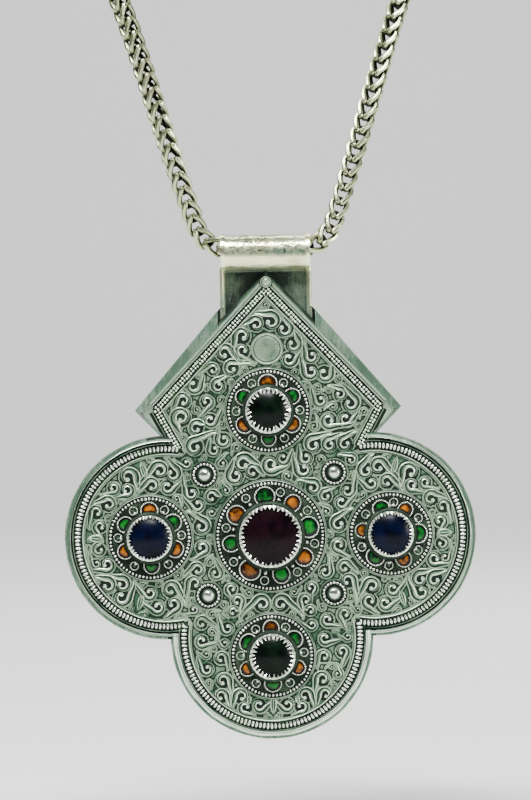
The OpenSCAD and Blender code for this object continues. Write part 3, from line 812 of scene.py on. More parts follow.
GABLE_VOLUTES = [
    (-2.3, 18.9, -7.0, 19.6, 2.57, 360), (-1.3, 16.2, -4.5, 17.5, 2.03, 340),
    (5.5, 19.1, 0.5, 19.3, 2.43, -400), (6.4, 23.6, 3.7, 20.9, 1.76, -360), (8.3, 24.7, 9.9, 20.9, 1.94, 340),
    (6.7, 22.3, 9.3, 17.8, 2.24, 330), (-17.3, 43.8, -20.0, 40.9, 2.16, -330),
    (-25.8, 34.0, -22.9, 36.9, 2.11, -330), (-23.7, 28.2, -23.5, 32.4, 2.57, -420),
    (-16.7, 30.5, -19.5, 29.5, 2.03, 330), (-12.3, 35.6, -15.7, 31.5, 1.89, -360),
    (-13.5, 28.1, -20.0, 24.4, 2.29, 330), (-3.5, 60.0, 1.2, 57.9, 2.43, -340),
    (-7.0, 56.6, -2.8, 57.2, 2.03, -340), (3.6, 60.2, 4.8, 55.8, 2.29, -330),
    (-9.0, 49.9, -6.7, 54.0, 2.29, -300), (7.3, 55.2, 7.1, 51.6, 2.16, -330),
    (9.1, 50.1, 5.9, 47.6, 2.03, -340), (-2.9, 46.5, -6.6, 50.1, 2.03, -330),
    (-7.5, 46.3, -11.5, 49.6, 2.29, 330), (-3.4, 46.2, -9.7, 45.4, 2.03, 330),
    (-10.8, 43.4, -13.3, 40.7, 1.89, 420), (10.2, 54.1, 12.0, 48.3, 1.89, 330),
    (9.3, 49.0, 11.7, 44.2, 2.16, 330), (-13.5, 29.4, -12.2, 26.1, 2.03, 360),
    (-15.7, 26.7, -14.8, 23.4, 1.76, 340), (-8.7, 21.5, -9.2, 16.4, 2.3, 360),
    (-13.0, 10.8, -15.7, 10.8, 1.89, 330), (17.6, 47.2, 15.4, 43.5, 2.16, -330),
    (19.4, 40.7, 22.3, 35.4, 2.3, -330), (16.2, 40.2, 19.5, 37.9, 1.76, -360),
    (23.6, 30.6, 16.4, 30.9, 2.11, -380), (24.4, 33.6, 20.9, 31.2, 2.03, -340),
    (17.3, 27.2, 12.0, 24.4, 2.3, 360), (20.5, 27.2, 16.4, 24.3, 1.97, 380),
    (23.8, 27.9, 20.6, 24.5, 2.03, 340), (7.3, 15.0, 11.8, 12.9, 2.03, -330),
    (17.8, 12.9, 15.1, 10.5, 1.76, 330),
]

# Buds between the volutes of each half: root, direction, length and width. The last one stands alone, at the
# foot
BUDS = [
    (-45.2, 0.0, -1.0, 0.06, 4.0, 2.3), (-33.3, 16.4, -0.3, 1.0, 4.6, 1.9),
    (-34.8, -15.4, -0.3, -1.0, 4.4, 1.9), (-6.3, -43.0, -0.2, -1.0, 2.6, 1.3),
]
FOOT_BUD = (0, -43.6, 0, -1, 4.6, 2.0)

# %% Scrolls
LEFT_VOLUTES = SIDE_VOLUTES + LOW_VOLUTES
RIGHT_VOLUTES = [(-stem_x, stem_z, -eye_x, eye_z, radius, -turn)
                 for stem_x, stem_z, eye_x, eye_z, radius, turn in LEFT_VOLUTES]


def leaf(stem_x, stem_z, eye_x, eye_z, radius, turn):
    """The path, the eye and the radius of one row of the tables."""
    eye, radius = Vector((eye_x, eye_z)), radius * CURL_GROW
    return volute_stations(Vector((stem_x, stem_z)), eye, radius, turn), eye, radius


def buds(bm, flip):
    for x, z, way_x, way_z, length, width in BUDS:
        root, way = Vector((x * flip, z)), Vector((way_x * flip, way_z)).normalized()
        drop(bm, root, way, length, width)
        side = Vector((way.y, -way.x))
        for hand in (-1, 1):
            wedge(bm, root + way * length * 0.92 + side * hand * width * 0.85, -way, 1.5, 0.8)


for name, rows, flip in (("left", LEFT_VOLUTES, 1), ("right", RIGHT_VOLUTES, -1), ("gable", GABLE_VOLUTES, 0)):
    scrolls = bench_mesh()
    for row in rows:
        curl(scrolls, *leaf(*row))
    if flip:
        buds(scrolls, flip)
    else:
        x, z, way_x, way_z, length, width = FOOT_BUD
        drop(scrolls, Vector((x, z)), Vector((way_x, way_z)), length, width)
        wedge(scrolls, Vector((0.2, 62.0)), Vector((0, 1)), 1.6, 1.4)
    place_piece(scrolls, "scrolls_" + name, chased, slot="plate_silver")

# %% [markdown]
# ## Filling the ground
# An engraver leaves no bare ground: smaller curls and commas go wherever the large volutes leave room. The
# filling is found the same way. A grid of points covers the plate, each knows how far it is from the nearest
# work, and the roomiest point gets the next curl, until only slivers are left.

# %% Places of the settings, bosses and medallion
# In mm: ring is the radius of the bead ring, bezel that of the toothed wall, collar where the slope to it
# starts, tip the petals' outer end, half half a petal's width, high the bezel's height and top the stone's.
# Petals: the place of each in degrees, and g for green or o for orange.
SETTINGS = {
    "centre": dict(x=0, z=0, ring=14.45, bezel=8.35, collar=9.5, tip=13.3, half=2.6, high=5.2, top=5.65,
                   petals="97g 55o 12g -33o -75g -122o -170g 147o"),
    "top": dict(x=0, z=33.8, petals="90o 30g -30o -90g -150o 150g"),
    "left": dict(x=-32.5, z=0, petals="90o 33g -24o -87g -153o 150g"),
    "right": dict(x=32.5, z=0, petals="110g 58o 0g -64o -125g 172o"),
    "bottom": dict(x=0, z=-32.4, petals="92o 37g -25o -90g -154o 150g"),
}
SMALL_SETTING = dict(ring=10.9, bezel=6.1, collar=7.2, tip=9.75, half=2.3, high=4.4, top=5.05)
SETTINGS = {name: {**SMALL_SETTING, **own} for name, own in SETTINGS.items()}
BOSSES = [(-17.5, 16.8), (17.5, 16.8), (-17.0, -15.8), (17.0, -15.8)]
MEDALLION_Z, MEDALLION_R = 50.5, 4.05
RIVET_Z = 68.5

# %% Places left free
# How far each kind of work reaches past its own size, and the plain line inside the border
RING_EDGE, BOSS_EDGE, LINE_INSIDE = 0.75, 3.65, 1.8
CELL, POLYGON_STEP = 0.26, 0.6
FAR = 5.0


def plate_polygon():
    peak, corner, upper, lower = outline_corners(0)
    lobe = arc(Vector((SIDE_X, 0)), upper, lower, SIDE_R, -1, POLYGON_STEP)
    low = arc(Vector((0, -LOW_Z)), lower, Vector((-lower.x, lower.y)), LOW_R, -1, POLYGON_STEP)
    right = straight(peak, corner, POLYGON_STEP) + straight(corner, upper, POLYGON_STEP) + lobe
    return [tuple(p) for p in right + low + mirrored(right)[::-1]]


polygon = plate_polygon()
xs, zs = np.arange(-52.6, 52.6, CELL), np.arange(-51.8, 67, CELL)


def inside_plate():
    """A map of the grid's points that lie inside the border wire."""
    odd = np.zeros((len(xs), len(zs)), bool)
    for (x1, z1), (x2, z2) in zip(polygon, polygon[1:] + polygon[:1]):
        if z1 != z2:
            rows = (z1 > zs) != (z2 > zs)
            at = x1 + (zs - z1) * (x2 - x1) / (z2 - z1)
            odd ^= rows[None, :] & (xs[:, None] < at[None, :])
    return odd


def take_room(room, x, z, radius):
    """Lowers the map of free room near a round spot of work."""
    i0, i1 = np.searchsorted(xs, (x - radius - FAR / 2, x + radius + FAR / 2))
    j0, j1 = np.searchsorted(zs, (z - radius - FAR / 2, z + radius + FAR / 2))
    gap = np.hypot(xs[i0:i1, None] - x, zs[None, j0:j1] - z) - radius
    np.minimum(room[i0:i1, j0:j1], gap, out=room[i0:i1, j0:j1])


def take_leaf(path, eye, radius, eye_room, beside):
    """Takes a volute's room from both maps: free, for the next curls, and carved, for the lined ground."""
    for place in path:
        x, z, _ = place @ Vector((0.5, 0, 0))
        half = 0.5 * place.col[0].xy.length
        take_room(carved, x, z, half)
        take_room(free, x, z, half + beside)
    take_room(carved, eye.x, eye.y, radius * 0.8)
    take_room(free, eye.x, eye.y, radius + eye_room)


free = np.where(inside_plate(), FAR, -1.0)
for x, z in polygon:
    take_room(free, x, z, LINE_INSIDE)
for setting in SETTINGS.values():
    take_room(free, setting["x"], setting["z"], setting["ring"] + RING_EDGE)
for x, z in BOSSES:
    take_room(free, x, z, BOSS_EDGE)
take_room(free, 0, MEDALLION_Z, MEDALLION_R + 0.1)
carved = free.copy()
for row in LEFT_VOLUTES + RIGHT_VOLUTES + GABLE_VOLUTES:
    take_leaf(*leaf(*row), eye_room=0.0, beside=0.15)
for x, z, way_x, way_z, length, width in BUDS + [FOOT_BUD]:
    way = Vector((way_x, way_z)).normalized() * length
    for flip in (-1, 1):
        for t in (0.2, 0.4, 0.6, 0.8):
            take_room(free, (x + way.x * t) * flip, z + way.y * t, 0.65 * width)
print("Grid:", free.shape, " widest free room, mm:", round(float(free.max()), 2))

# %% Curls in the free places
SMALLEST_CURL, LARGEST_CURL = 0.75, 2.3
FILLING_TURN, STEM_RADII = 330, 2.0
filling = bench_mesh()
curls = 0
while free.max() > SMALLEST_CURL:
    i, j = np.unravel_index(int(free.argmax()), free.shape)
    eye, radius = Vector((xs[i], zs[j])), min(float(free[i, j]), LARGEST_CURL)
    roomiest = -FAR
    for angle in range(0, 360, 20):
        p = eye + turned(math.radians(angle), radius * STEM_RADII)
        i, j = int(np.searchsorted(xs, p.x)), int(np.searchsorted(zs, p.y))
        if 0 < i < len(xs) and 0 < j < len(zs) and free[i, j] > roomiest:
            roomiest, stem = free[i, j], p
    hand = 1 if eye.x * (1 if curls % 3 else -1) < 0 else -1
    path = volute_stations(stem, eye, radius, FILLING_TURN * hand)
    curl(filling, path, eye, radius)
    take_leaf(path, eye, radius, eye_room=0.1, beside=0.1)
    curls += 1
print("Curls in the free places:", curls)
place_piece(filling, "scrolls_filling", chased, slot="plate_silver")

# %% [markdown]
# The rest of the ground is cut away. The graver follows each scroll at a steady distance, and where the cuts
# meet they leave small dark three-cornered hollows. The mesh only carries the distance to the nearest work,
# in millimetres, and the material turns it into light edges and dark hollows, which stay crisp on a coarse
# mesh.

# %% Lined ground
# Distances from the work, in mm: where the light edge ends, and where the dark cut starts and ends
LIGHT_EDGE, DARK_FROM, DARK_TO, FADE = 0.22, 0.34, 0.52, 0.14
EDGE_TONE, CUT_TONE, OPEN_TONE = 0.6, -0.15, 0.66
LINED_H = 0.045


def reach_of_lines(tree, place):
    """Light right beside the work, then a dark cut that follows it, and light again on open ground."""
    away = put(tree, "Attribute", {"attribute_name": "away"}, {}).outputs["Fac"]
    sunk = put(tree, "MapRange", {"interpolation_type": "SMOOTHSTEP"},
               {"Value": away, "From Min": LIGHT_EDGE, "From Max": DARK_FROM, "To Min": EDGE_TONE,
                "To Max": CUT_TONE})
    open_ground = put(tree, "MapRange", {"interpolation_type": "SMOOTHSTEP"},
                      {"Value": away, "From Min": DARK_TO, "From Max": DARK_TO + FADE, "To Max": OPEN_TONE})
    return put(tree, "Math", {"operation": "ADD"}, {0: sunk, 1: open_ground})


# Ground cut with a graver: fine dark lines full of patina beside light, flat lands
lined_silver = worked_silver("silver_ground_engraved_lines", PATINA, GREY, BRIGHT, reach_of_lines)
lined = bench_mesh()
away = lined.verts.layers.float.new("away")
span_x, span_z = xs[-1] - xs[0], zs[-1] - zs[0]
bmesh.ops.create_grid(lined, x_segments=len(xs) - 1, y_segments=len(zs) - 1, size=0.5, matrix=(
    Matrix.Translation(((xs[0] + xs[-1]) / 2, (zs[0] + zs[-1]) / 2, LINED_H))
    @ Matrix.Diagonal((span_x, span_z, 1, 1))))
under = []
for v in lined.verts:
    distance = carved[round((v.co.x - xs[0]) / CELL), round((v.co.y - zs[0]) / CELL)]
    v[away] = max(0.0, distance)
    if distance < -CELL:
        under.append(v)
bmesh.ops.delete(lined, geom=under, context="VERTS")
lined.normal_update()
face_up(lined, lined.faces[:])
place_piece(lined, "plate_lined_ground", lined_silver, slot="plate_silver")

# %% [markdown]
# ## Round settings
# Each of the five settings is a soldered stack: a round base with a plain wire and a ring of small beads on
# its rim, petal cells of thin serrated wire, small ring cells and single granules between them, a sloping
# collar, and a tall bezel cut into saw teeth that are pressed over the glass. The turned parts are one
# profile spun round; beads and teeth are one shape repeated round the ring.

# %% Turned and repeated work
FULL_TURN = 2 * math.pi


def turn_profile(bm, x, z, profile, steps):
    """Spins rows of radius, h and reach round the place x, z on the plate."""
    round_part = bench_mesh()
    layer = round_part.verts.layers.float["reach"]
    verts = []
    for r, h, reach in profile:
        v = round_part.verts.new((r, 0, h))
        v[layer] = reach
        verts.append(v)
    edges = [round_part.edges.new(pair) for pair in zip(verts, verts[1:])]
    bmesh.ops.spin(round_part, geom=verts + edges, axis=(0, 0, 1), angle=FULL_TURN, steps=steps, use_merge=True)
    bmesh.ops.remove_doubles(round_part, verts=round_part.verts, dist=1e-4)
    round_part.normal_update()
    face_up(round_part, round_part.faces[:])
    set_copies(bm, round_part, [Matrix.Translation((x, z, 0))])


def repeat_round(bm, verts, count, centre, angle):
    """Copies the shape made of verts round centre, count pieces in all, over a full turn or from end to end."""
    faces, edges = {f for v in verts for f in v.link_faces}, {e for v in verts for e in v.link_edges}
    geom = list(faces) + list(edges) + verts
    share = angle * (count - 1) / count if angle == FULL_TURN else angle
    bmesh.ops.spin(bm, geom=geom, cent=centre, axis=(0, 0, 1), angle=share, steps=count - 1, use_duplicate=True)


def bead_ring(bm, x, z, radius, h, bead, count, start=0.0, angle=FULL_TURN, facets=8):
    """A ring or arc of beads, each dark at the foot. The radius bead is also half a bead's height."""
    at = Vector((x, z)) + turned(start, radius)
    verts = ball(bm, Vector((at.x, at.y, h)), (bead,) * 3, facets=facets)
    shade_by_height(bm, verts, h - 0.2 * bead, 0.0, h + 0.8 * bead, 1.05)
    repeat_round(bm, verts, count, (x, z, 0), angle)


def petal_list(setting):
    for word in setting["petals"].split():
        yield math.radians(float(word[:-1])), {"g": "green", "o": "orange"}[word[-1]]


# %% Parts of a setting
BASE_H = 0.85
RIM_BEAD, RIM_BEAD_PITCH, CELL_BEAD_PITCH = 0.41, 0.98, 0.43
# How far below the bezel's top its wall ends and the saw teeth are bent inwards
TOOTH_BEND = 0.6


def setting_profile(s):
    """Rows of radius, h and reach: plain wire, base, stepped collar, and the bezel's wall and lip."""
    ring, collar, bezel, wall = s["ring"], s["collar"], s["bezel"], s["high"] - TOOTH_BEND
    return [
        (ring + 0.75, 0.05, -0.2), (ring + 0.62, 0.1, -0.2), (ring + 0.62, 0.5, 0.2), (ring + 0.58, 0.62, 0.6),
        (ring + 0.48, 0.66, 0.65), (ring + 0.42, 0.55, 0.2), (ring + 0.38, 0.35, -0.2),
        (ring + 0.15, 0.4, -0.2), (ring - 0.75, BASE_H - 0.1, -0.1), (ring - 0.85, BASE_H, 0.02),
        (collar + 0.1, BASE_H, 0.02), (collar, 1.0, -0.3), (collar - 0.06, 1.25, 0.2),
        (collar - 0.14, 1.35, -0.2), (collar - 0.3, 1.5, -0.2), (collar - 0.36, 1.58, 0.25),
        (collar - 0.44, 1.62, -0.2), (bezel + 0.6, 1.9, -0.2), (bezel + 0.52, 2.0, 0.25),
        (bezel + 0.42, 2.1, -0.2), (bezel + 0.16, 2.4, -0.3), (bezel + 0.1, 2.6, -0.3),
        (bezel + 0.06, wall - 0.7, -0.1), (bezel + 0.03, wall - 0.2, 0.8), (bezel - 0.04, wall - 0.05, 1.1),
        (bezel - 0.3, wall - 0.02, 0.9), (bezel - 0.42, wall - 0.2, 0.0), (bezel - 0.62, wall - 0.8, 0.0),
    ]


# An empty ring cell: rows of radius, h and reach from its middle outwards
RING_CELL = [(0.001, 1.02, 0.3), (0.5, 0.95, 0.12), (0.86, BASE_H, 0.0), (0.92, 1.2, 0.1), (1.0, 1.32, 0.6),
             (1.14, 1.32, 0.6), (1.22, 1.2, 0.2), (1.26, BASE_H, 0.0)]


def petal_middle(s):
    return s["tip"] - s["half"]


def hand_made(s, angle):
    """Carries a cell shaped at the plate's origin to its place, each a little wider or deeper than round."""
    middle = Vector((s["x"], s["z"])) + turned(angle, petal_middle(s))
    size, wide = 0.95 + 0.05 * math.sin(5 * angle + s["x"]), 1 + 0.1 * math.cos(3 * angle + s["z"])
    return on_plate(middle, angle) @ Matrix.Diagonal((size, size * wide, 1, 1))


def cell_wire(bm, s, angle):
    """The serrated wire round one petal, from the collar out round the tip and back."""
    radius = s["half"] + 0.02
    cos_open = (petal_middle(s) ** 2 + radius ** 2 - s["collar"] ** 2) / (2 * petal_middle(s) * radius)
    opening = math.acos(max(-1.0, min(1.0, cos_open)))
    arc_angle = 2 * (math.pi - opening)
    count = max(8, round(arc_angle * radius / CELL_BEAD_PITCH))
    wire = bench_mesh()
    bead_ring(wire, 0, 0, radius, 1.32, 0.23, count, math.pi + opening, arc_angle, facets=6)
    set_copies(bm, wire, [hand_made(s, angle)])


def bud(bm, s, angle):
    """An empty ring cell by the rim, and the granule between it and the collar."""
    at = Vector((s["x"], s["z"])) + turned(angle, s["tip"] - 1.2)
    turn_profile(bm, at.x, at.y, RING_CELL, steps=20)
    bead_ring(bm, at.x, at.y, 1.08, 1.34, 0.17, 16, facets=6)
    grain = Vector((s["x"], s["z"])) + turned(angle, s["collar"] + 0.55)
    verts = ball(bm, Vector((grain.x, grain.y, 1.3)), (0.48,) * 3)
    shade_by_height(bm, verts, 1.1, 0.1, 1.5, 1.3)


def rim_beads(bm, s, chance):
    """The beads round a setting's edge, uneven and a little longer across the ring than along it."""
    rim = s["ring"] - 0.3
    bead = bench_mesh()
    across_ring = (RIM_BEAD * 1.12, RIM_BEAD * 0.9, RIM_BEAD)
    shade_by_height(bead, ball(bead, Vector(), across_ring), -0.06, 0.0, 0.33, 1.1)
    places = []
    count = round(2 * math.pi * rim / RIM_BEAD_PITCH)
    for i in range(count):
        size = chance.uniform(0.78, 1.08)
        places.append(on_plate(Vector((s["x"], s["z"])), 2 * math.pi * i / count)
                      @ Matrix.Translation((rim + chance.uniform(-0.06, 0.06), 0, 0.92))
                      @ Matrix.Diagonal((size, size * chance.uniform(0.85, 1.05), size, 1)))
    set_copies(bm, bead, places)


# Pitch and length of the saw teeth, which differ from setting to setting
TEETH = {"centre": (1.3, 1.3), "top": (1.3, 1.55), "bottom": (1.3, 1.6),
         "left": (1.05, 1.1), "right": (1.05, 1.1)}


def teeth(bm, s, pitch, length, chance):
    count = round(2 * math.pi * s["bezel"] / pitch)
    half, wall = math.pi * s["bezel"] / count, s["high"] - TOOTH_BEND
    tooth = bench_mesh()
    layer = tooth.verts.layers.float["reach"]
    # Rows from the wall to the tip: u, half the width, h and reach
    rows = [(0.07, half * 0.98, -0.6, 0.5), (0.0, half * 0.95, 0.0, 1.1), (-0.55, half * 0.62, 0.24, 1.3),
            (-length, half * 0.06, 0.06, 1.3)]
    grid = []
    for u, w, h, reach in rows:
        row = []
        for side, lift, shade in ((-1, 0, 0.7), (0, 0.14, 1.0), (1, 0, 0.7)):
            v = tooth.verts.new((u, side * w, h + lift))
            v[layer] = reach * shade
            row.append(v)
        grid.append(row)
    for low, high in zip(grid, grid[1:]):
        for i in range(2):
            tooth.faces.new((low[i], low[i + 1], high[i + 1], high[i]))
    tooth.normal_update()
    face_up(tooth, tooth.faces[:])
    places = []
    for i in range(count):
        around = Matrix.Rotation(2 * math.pi * i / count, 4, "Z")
        bent = (Matrix.Rotation(chance.uniform(-0.12, 0.12), 4, "Y")
                @ Matrix.Rotation(chance.uniform(-0.15, 0.15), 4, "Z"))
        size = Matrix.Diagonal((chance.uniform(0.72, 1.12), chance.uniform(0.85, 1.0), 1, 1))
        places.append(Matrix.Translation((s["x"], s["z"], wall)) @ around
                      @ Matrix.Translation((s["bezel"], 0, 0)) @ bent @ size)
    set_copies(bm, tooth, places)
    return count


# %% Five settings
for name, s in SETTINGS.items():
    rosette = bench_mesh()
    turn_profile(rosette, s["x"], s["z"], setting_profile(s), steps=96)
    rim_beads(rosette, s, chance)
    angles = [angle for angle, _ in petal_list(s)]
    for angle in angles:
        cell_wire(rosette, s, angle)
    ordered = sorted(a % (2 * math.pi) for a in angles)
    for a, b in zip(ordered, ordered[1:] + [ordered[0] + 2 * math.pi]):
        bud(rosette, s, (a + b) / 2)
    count = teeth(rosette, s, *TEETH[name], chance)
    rosette = place_piece(rosette, "rosette_" + name, bright_wire)
    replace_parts(rosette, "setting_" + name)
    print(name, "has", count, "teeth")

# %% [markdown]
# ## Enamel petals
# Each cell holds a drop of coloured glass that was melted in place, so it is domed a little and thick in the
# middle, with grime along the wire. A disc is inset and lifted in steps, and the part that would lie under the
# setting's collar is pushed out to it.

# %% Enamel material
ENAMEL_CLOUD_MM, MOTTLING, MOTTLING_OFF = 1.6, 3.0, -1.55


def enamel(name, deep, bright):
    """Melted glass: glossy, cloudy inside, and grimy by the wire. Reach carries each petal's own tone."""
    material, tree = new_material(name)
    place = put(tree, "TexCoord", {}, {}).outputs["Object"]
    tone = put(tree, "Attribute", {"attribute_name": "reach"}, {}).outputs["Fac"]
    cloud = put(tree, "TexNoise", {}, {"Vector": place, "Scale": 1 / (ENAMEL_CLOUD_MM * MM), "Detail": 3.0})
    mottled = put(tree, "Math", {"operation": "MULTIPLY_ADD"}, {0: cloud, 1: MOTTLING, 2: MOTTLING_OFF})
    share = put(tree, "Math", {"operation": "ADD", "use_clamp": True}, {0: tone, 1: mottled})
    mixed = put(tree, "Mix", {"data_type": "RGBA"},
                {FACTOR: share, FIRST: colour(deep), SECOND: colour(bright)}).outputs[MIXED]
    bump = put(tree, "Bump", {}, {"Strength": 0.3, "Distance": 0.1 * MM, "Height": cloud})
    finish_material(tree, put(tree, "BsdfPrincipled", {},
                              {"Base Color": mixed, "Roughness": 0.2, "Specular IOR Level": 0.22,
                               "Normal": bump}))
    return material


# Enamel fired in its cell: a deep, glassy green and a brownish orange, both mottled, with a small clear gleam
enamels = {"green": enamel("enamel_green_melted", "#04140a", "#0a6c20"),
           "orange": enamel("enamel_orange_melted", "#26130a", "#ad630f")}

# %% Petals
# Each step of the dome: how far its edge is inset, how far it is lifted, and its share of the petal's tone
DOME_STEPS = ((0.05, 0.16, -0.9), (0.35, 0.14, -0.4), (0.4, 0.12, 0.7), (0.55, 0.08, 1.0))
# The insets are for a cell of this half width, and smaller cells take less
DOME_HALF = 2.6
CELL_GAP, COLLAR_GAP, COLLAR_SHADE = 0.25, 0.15, 0.4


def petal(s, angle, tone):
    bm = bench_mesh()
    layer = bm.verts.layers.float["reach"]
    radius = s["half"] - CELL_GAP
    disc = bmesh.ops.create_circle(bm, cap_ends=True, segments=28, radius=radius,
                                   matrix=Matrix.Translation((0, 0, BASE_H + 0.1)))
    face = list({f for v in disc["verts"] for f in v.link_faces})
    bm.normal_update()
    face_up(bm, face)
    for inset, lift, share in DOME_STEPS:
        bmesh.ops.inset_region(bm, faces=face, thickness=inset * s["half"] / DOME_HALF, depth=0,
                               use_boundary=True)
        inner = list({v for f in face for v in f.verts})
        bmesh.ops.translate(bm, vec=(0, 0, lift), verts=inner)
        for v in inner:
            v[layer] = tone * share
    bmesh.ops.transform(bm, matrix=hand_made(s, angle), verts=bm.verts)
    centre = Vector((s["x"], s["z"]))
    for v in bm.verts:
        off = v.co.xy - centre
        if off.length < s["collar"] + COLLAR_GAP:
            v.co.xy = centre + off.normalized() * (s["collar"] + COLLAR_GAP)
            v[layer] *= COLLAR_SHADE
    return bm


# Petals that stand out as darker or brighter than the rest
TONES = {("centre", 1): 0.3, ("centre", 5): 1.5, ("centre", 6): 0.35, ("bottom", 1): 0.2, ("top", 1): 0.35}
for name, s in SETTINGS.items():
    for i, (angle, kind) in enumerate(petal_list(s), 1):
        tone = TONES.get((name, i), chance.uniform(0.5, 0.95))
        piece = place_piece(petal(s, angle, tone), f"petal_{name}_{i}", enamels[kind], slot="enamel_" + kind)
        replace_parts(piece, f"enamel_{name}_{i}")

# %% [markdown]
# ## Glass
# The five stones are domed glass, so dark that their colour shows only where light comes through: plum in the
# middle, navy at the sides and bottle green above and below. Each is a spun profile with a low dome.

# %% Glass material
GLASS_CLOUD_MM = 3


def dark_glass(name, deep, bright):
    material, tree = new_material(name)
    place = put(tree, "TexCoord", {}, {}).outputs["Object"]
    cloud = put(tree, "TexNoise", {}, {"Vector": place, "Scale": 1 / (GLASS_CLOUD_MM * MM), "Detail": 4.0})
    share = put(tree, "MapRange", {}, {"Value": cloud, "From Min": 0.35, "From Max": 0.75})
    mixed = put(tree, "Mix", {"data_type": "RGBA"},
                {FACTOR: share, FIRST: colour(deep), SECOND: colour(bright)}).outputs[MIXED]
    bump = put(tree, "Bump", {}, {"Strength": 0.1, "Distance": 0.1 * MM, "Height": cloud})
    finish_material(tree, put(tree, "BsdfPrincipled", {},
                              {"Base Color": mixed, "Roughness": 0.25, "Specular IOR Level": 0.1,
                               "Normal": bump}))
    return material


# Glass ground to a dome, deeply coloured and scratched by wear: nearly black, with a broad faint gleam
plum = dark_glass("glass_plum_domed", "#060205", "#19080f")
navy = dark_glass("glass_navy_domed", "#01030c", "#040a24")
moss = dark_glass("glass_moss_domed", "#010403", "#07160e")
GLASSES = {"centre": (plum, "glass_plum"), "left": (navy, "glass_navy"), "right": (navy, "glass_navy"),
           "top": (moss, "glass_moss"), "bottom": (moss, "glass_moss")}

# %% Stones
BEZEL_WALL, GIRDLE_DROP, DOME_RINGS = 0.63, 1.05, 9
for name, s in SETTINGS.items():
    radius, girdle = s["bezel"] - BEZEL_WALL, s["high"] - GIRDLE_DROP
    dome = s["top"] - girdle
    ball_r = (radius ** 2 + dome ** 2) / (2 * dome)
    stone = bench_mesh()
    profile = [(radius * 0.98, BASE_H, 0.5), (radius, girdle, 0.5)]
    for i in range(DOME_RINGS, -1, -1):
        r = radius * 0.995 * i / DOME_RINGS
        profile.append((max(r, 0.001), girdle + math.sqrt(ball_r ** 2 - r ** 2) - (ball_r - dome), 0.5))
    turn_profile(stone, s["x"], s["z"], profile, steps=48)
    material, slot = GLASSES[name]
    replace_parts(place_piece(stone, "cabochon_" + name, material, slot=slot), "glass_" + name)

# %% [markdown]
# ## Bosses and medallion
# Four small domes hide the rivets between the settings. Each is a polished dome in a ring of beads, with a
# painted highlight on its top and painted shade round it. High on the gable sits a flat round medallion with
# an engraved border, left plain.

# %% Bosses and medallion
# Rows of radius, h and reach, from the rim to the middle. On the dome the reach climbs from its foot to its
# top: a painted highlight in the middle and painted shade round it
BOSS_PROFILE = [
    (3.74, 0.04, 0.0), (3.68, 0.05, -0.2), (3.64, 0.3, 0.4), (3.56, 0.4, 0.6), (3.48, 0.34, 0.0),
    (3.3, 0.3, -0.2), (2.3, 0.5, -0.2), (2.0, 0.6, -0.2), (1.93, 0.9, 0.0), (1.78, 1.25, 0.15),
    (1.55, 1.6, 0.4), (1.15, 1.9, 0.85), (0.75, 2.1, 1.05), (0.35, 2.18, 1.1), (0.001, 2.2, 1.1),
]
RIVET_PROFILE = [
    (1.9, 0.5, 0.0), (1.86, 0.83, 0.0), (1.55, 0.84, 0.0), (1.5, 0.95, 0.6), (1.42, 1.02, 1.0),
    (1.28, 1.0, 0.7), (1.2, 0.9, 0.0), (1.1, 0.9, 0.1), (1.0, 1.0, 0.6), (0.5, 1.06, 0.8), (0.001, 1.07, 0.8),
]
MEDALLION_PROFILE = [
    (4.12, 0.05, 0.0), (4.1, 0.28, 0.8), (3.95, 0.33, 1.0), (3.75, 0.32, 0.9), (3.68, 0.27, 0.0),
    (3.5, 0.27, 0.0), (3.42, 0.31, 0.62), (2.0, 0.31, 0.56), (0.001, 0.31, 0.56),
]
# Domes raised in a block and burnished: small sharp highlights that wander over shallow dents, on top of
# the painted highlight and shade that each dome's reach carries
polished = worked_silver("silver_domes_polished", PATINA, "#59705c", "#f2f7ee", reach_of_vertices, rough=0.17,
                         dent=0.35)
for i, (x, z) in enumerate(BOSSES, 1):
    boss = bench_mesh()
    turn_profile(boss, x, z, BOSS_PROFILE, steps=36)
    bead_ring(boss, x, z, 2.85, 0.6, 0.43, 20)
    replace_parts(place_piece(boss, f"boss_dome_{i}", polished, slot="boss_silver"), f"boss_{i}")

rivet = bench_mesh()
turn_profile(rivet, 0, RIVET_Z, RIVET_PROFILE, steps=28)
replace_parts(place_piece(rivet, "apex_rivet_head", chased, slot="rivet_silver"), "apex_rivet")

medallion = bench_mesh()
turn_profile(medallion, 0, MEDALLION_Z, MEDALLION_PROFILE, steps=48)
place_piece(medallion, "medallion_disc", chased, slot="plate_silver")

# %% [markdown]
# ## Engraving on the bail
# The tube over which the chain runs was engraved with small curls and leaves, now rubbed almost away. A few
# thin dark lines that are still whole are drawn flat here, two to each curl, and then rolled round the tube.

# %% Bail engraving
# Columns as in the tables of volutes, with the way up round the tube in place of z
TUBE_CURLS = [
    (-9.6, 1.2, -8.2, 3.0, 1.3, 340), (-7.4, 4.6, -5.6, 3.4, 1.4, -340), (-5.2, 0.6, -3.8, 2.0, 1.2, 340),
    (-3.2, 4.8, -2.0, 3.2, 1.3, -340), (-1.0, 0.8, 0.6, 2.2, 1.35, 340), (2.0, 4.8, 3.0, 3.2, 1.25, -340),
    (4.0, 0.6, 5.2, 2.2, 1.3, 340), (8.6, 4.4, 7.6, 2.8, 1.2, 340), (9.8, 0.4, 9.0, 1.4, 1.0, -340),
    (-6.6, 1.4, -5.4, 5.6, 0.9, 340), (-2.4, 2.4, -0.6, 4.8, 0.9, 340), (0.8, 5.6, 1.4, 4.2, 0.8, -340),
]
# Rows of u, h and reach across one line
FINE_LINE = [(-0.1, 0.012, 0.7), (-0.05, 0.02, 0.1), (0.05, 0.02, 0.1), (0.1, 0.012, 0.7)]


def roll_on_tube(bm):
    for v in bm.verts:
        angle, r = v.co.y / TUBE_R, TUBE_R + v.co.z
        v.co = (v.co.x, BAIL_UP + r * math.sin(angle), r * math.cos(angle) - FACE_FORWARD)


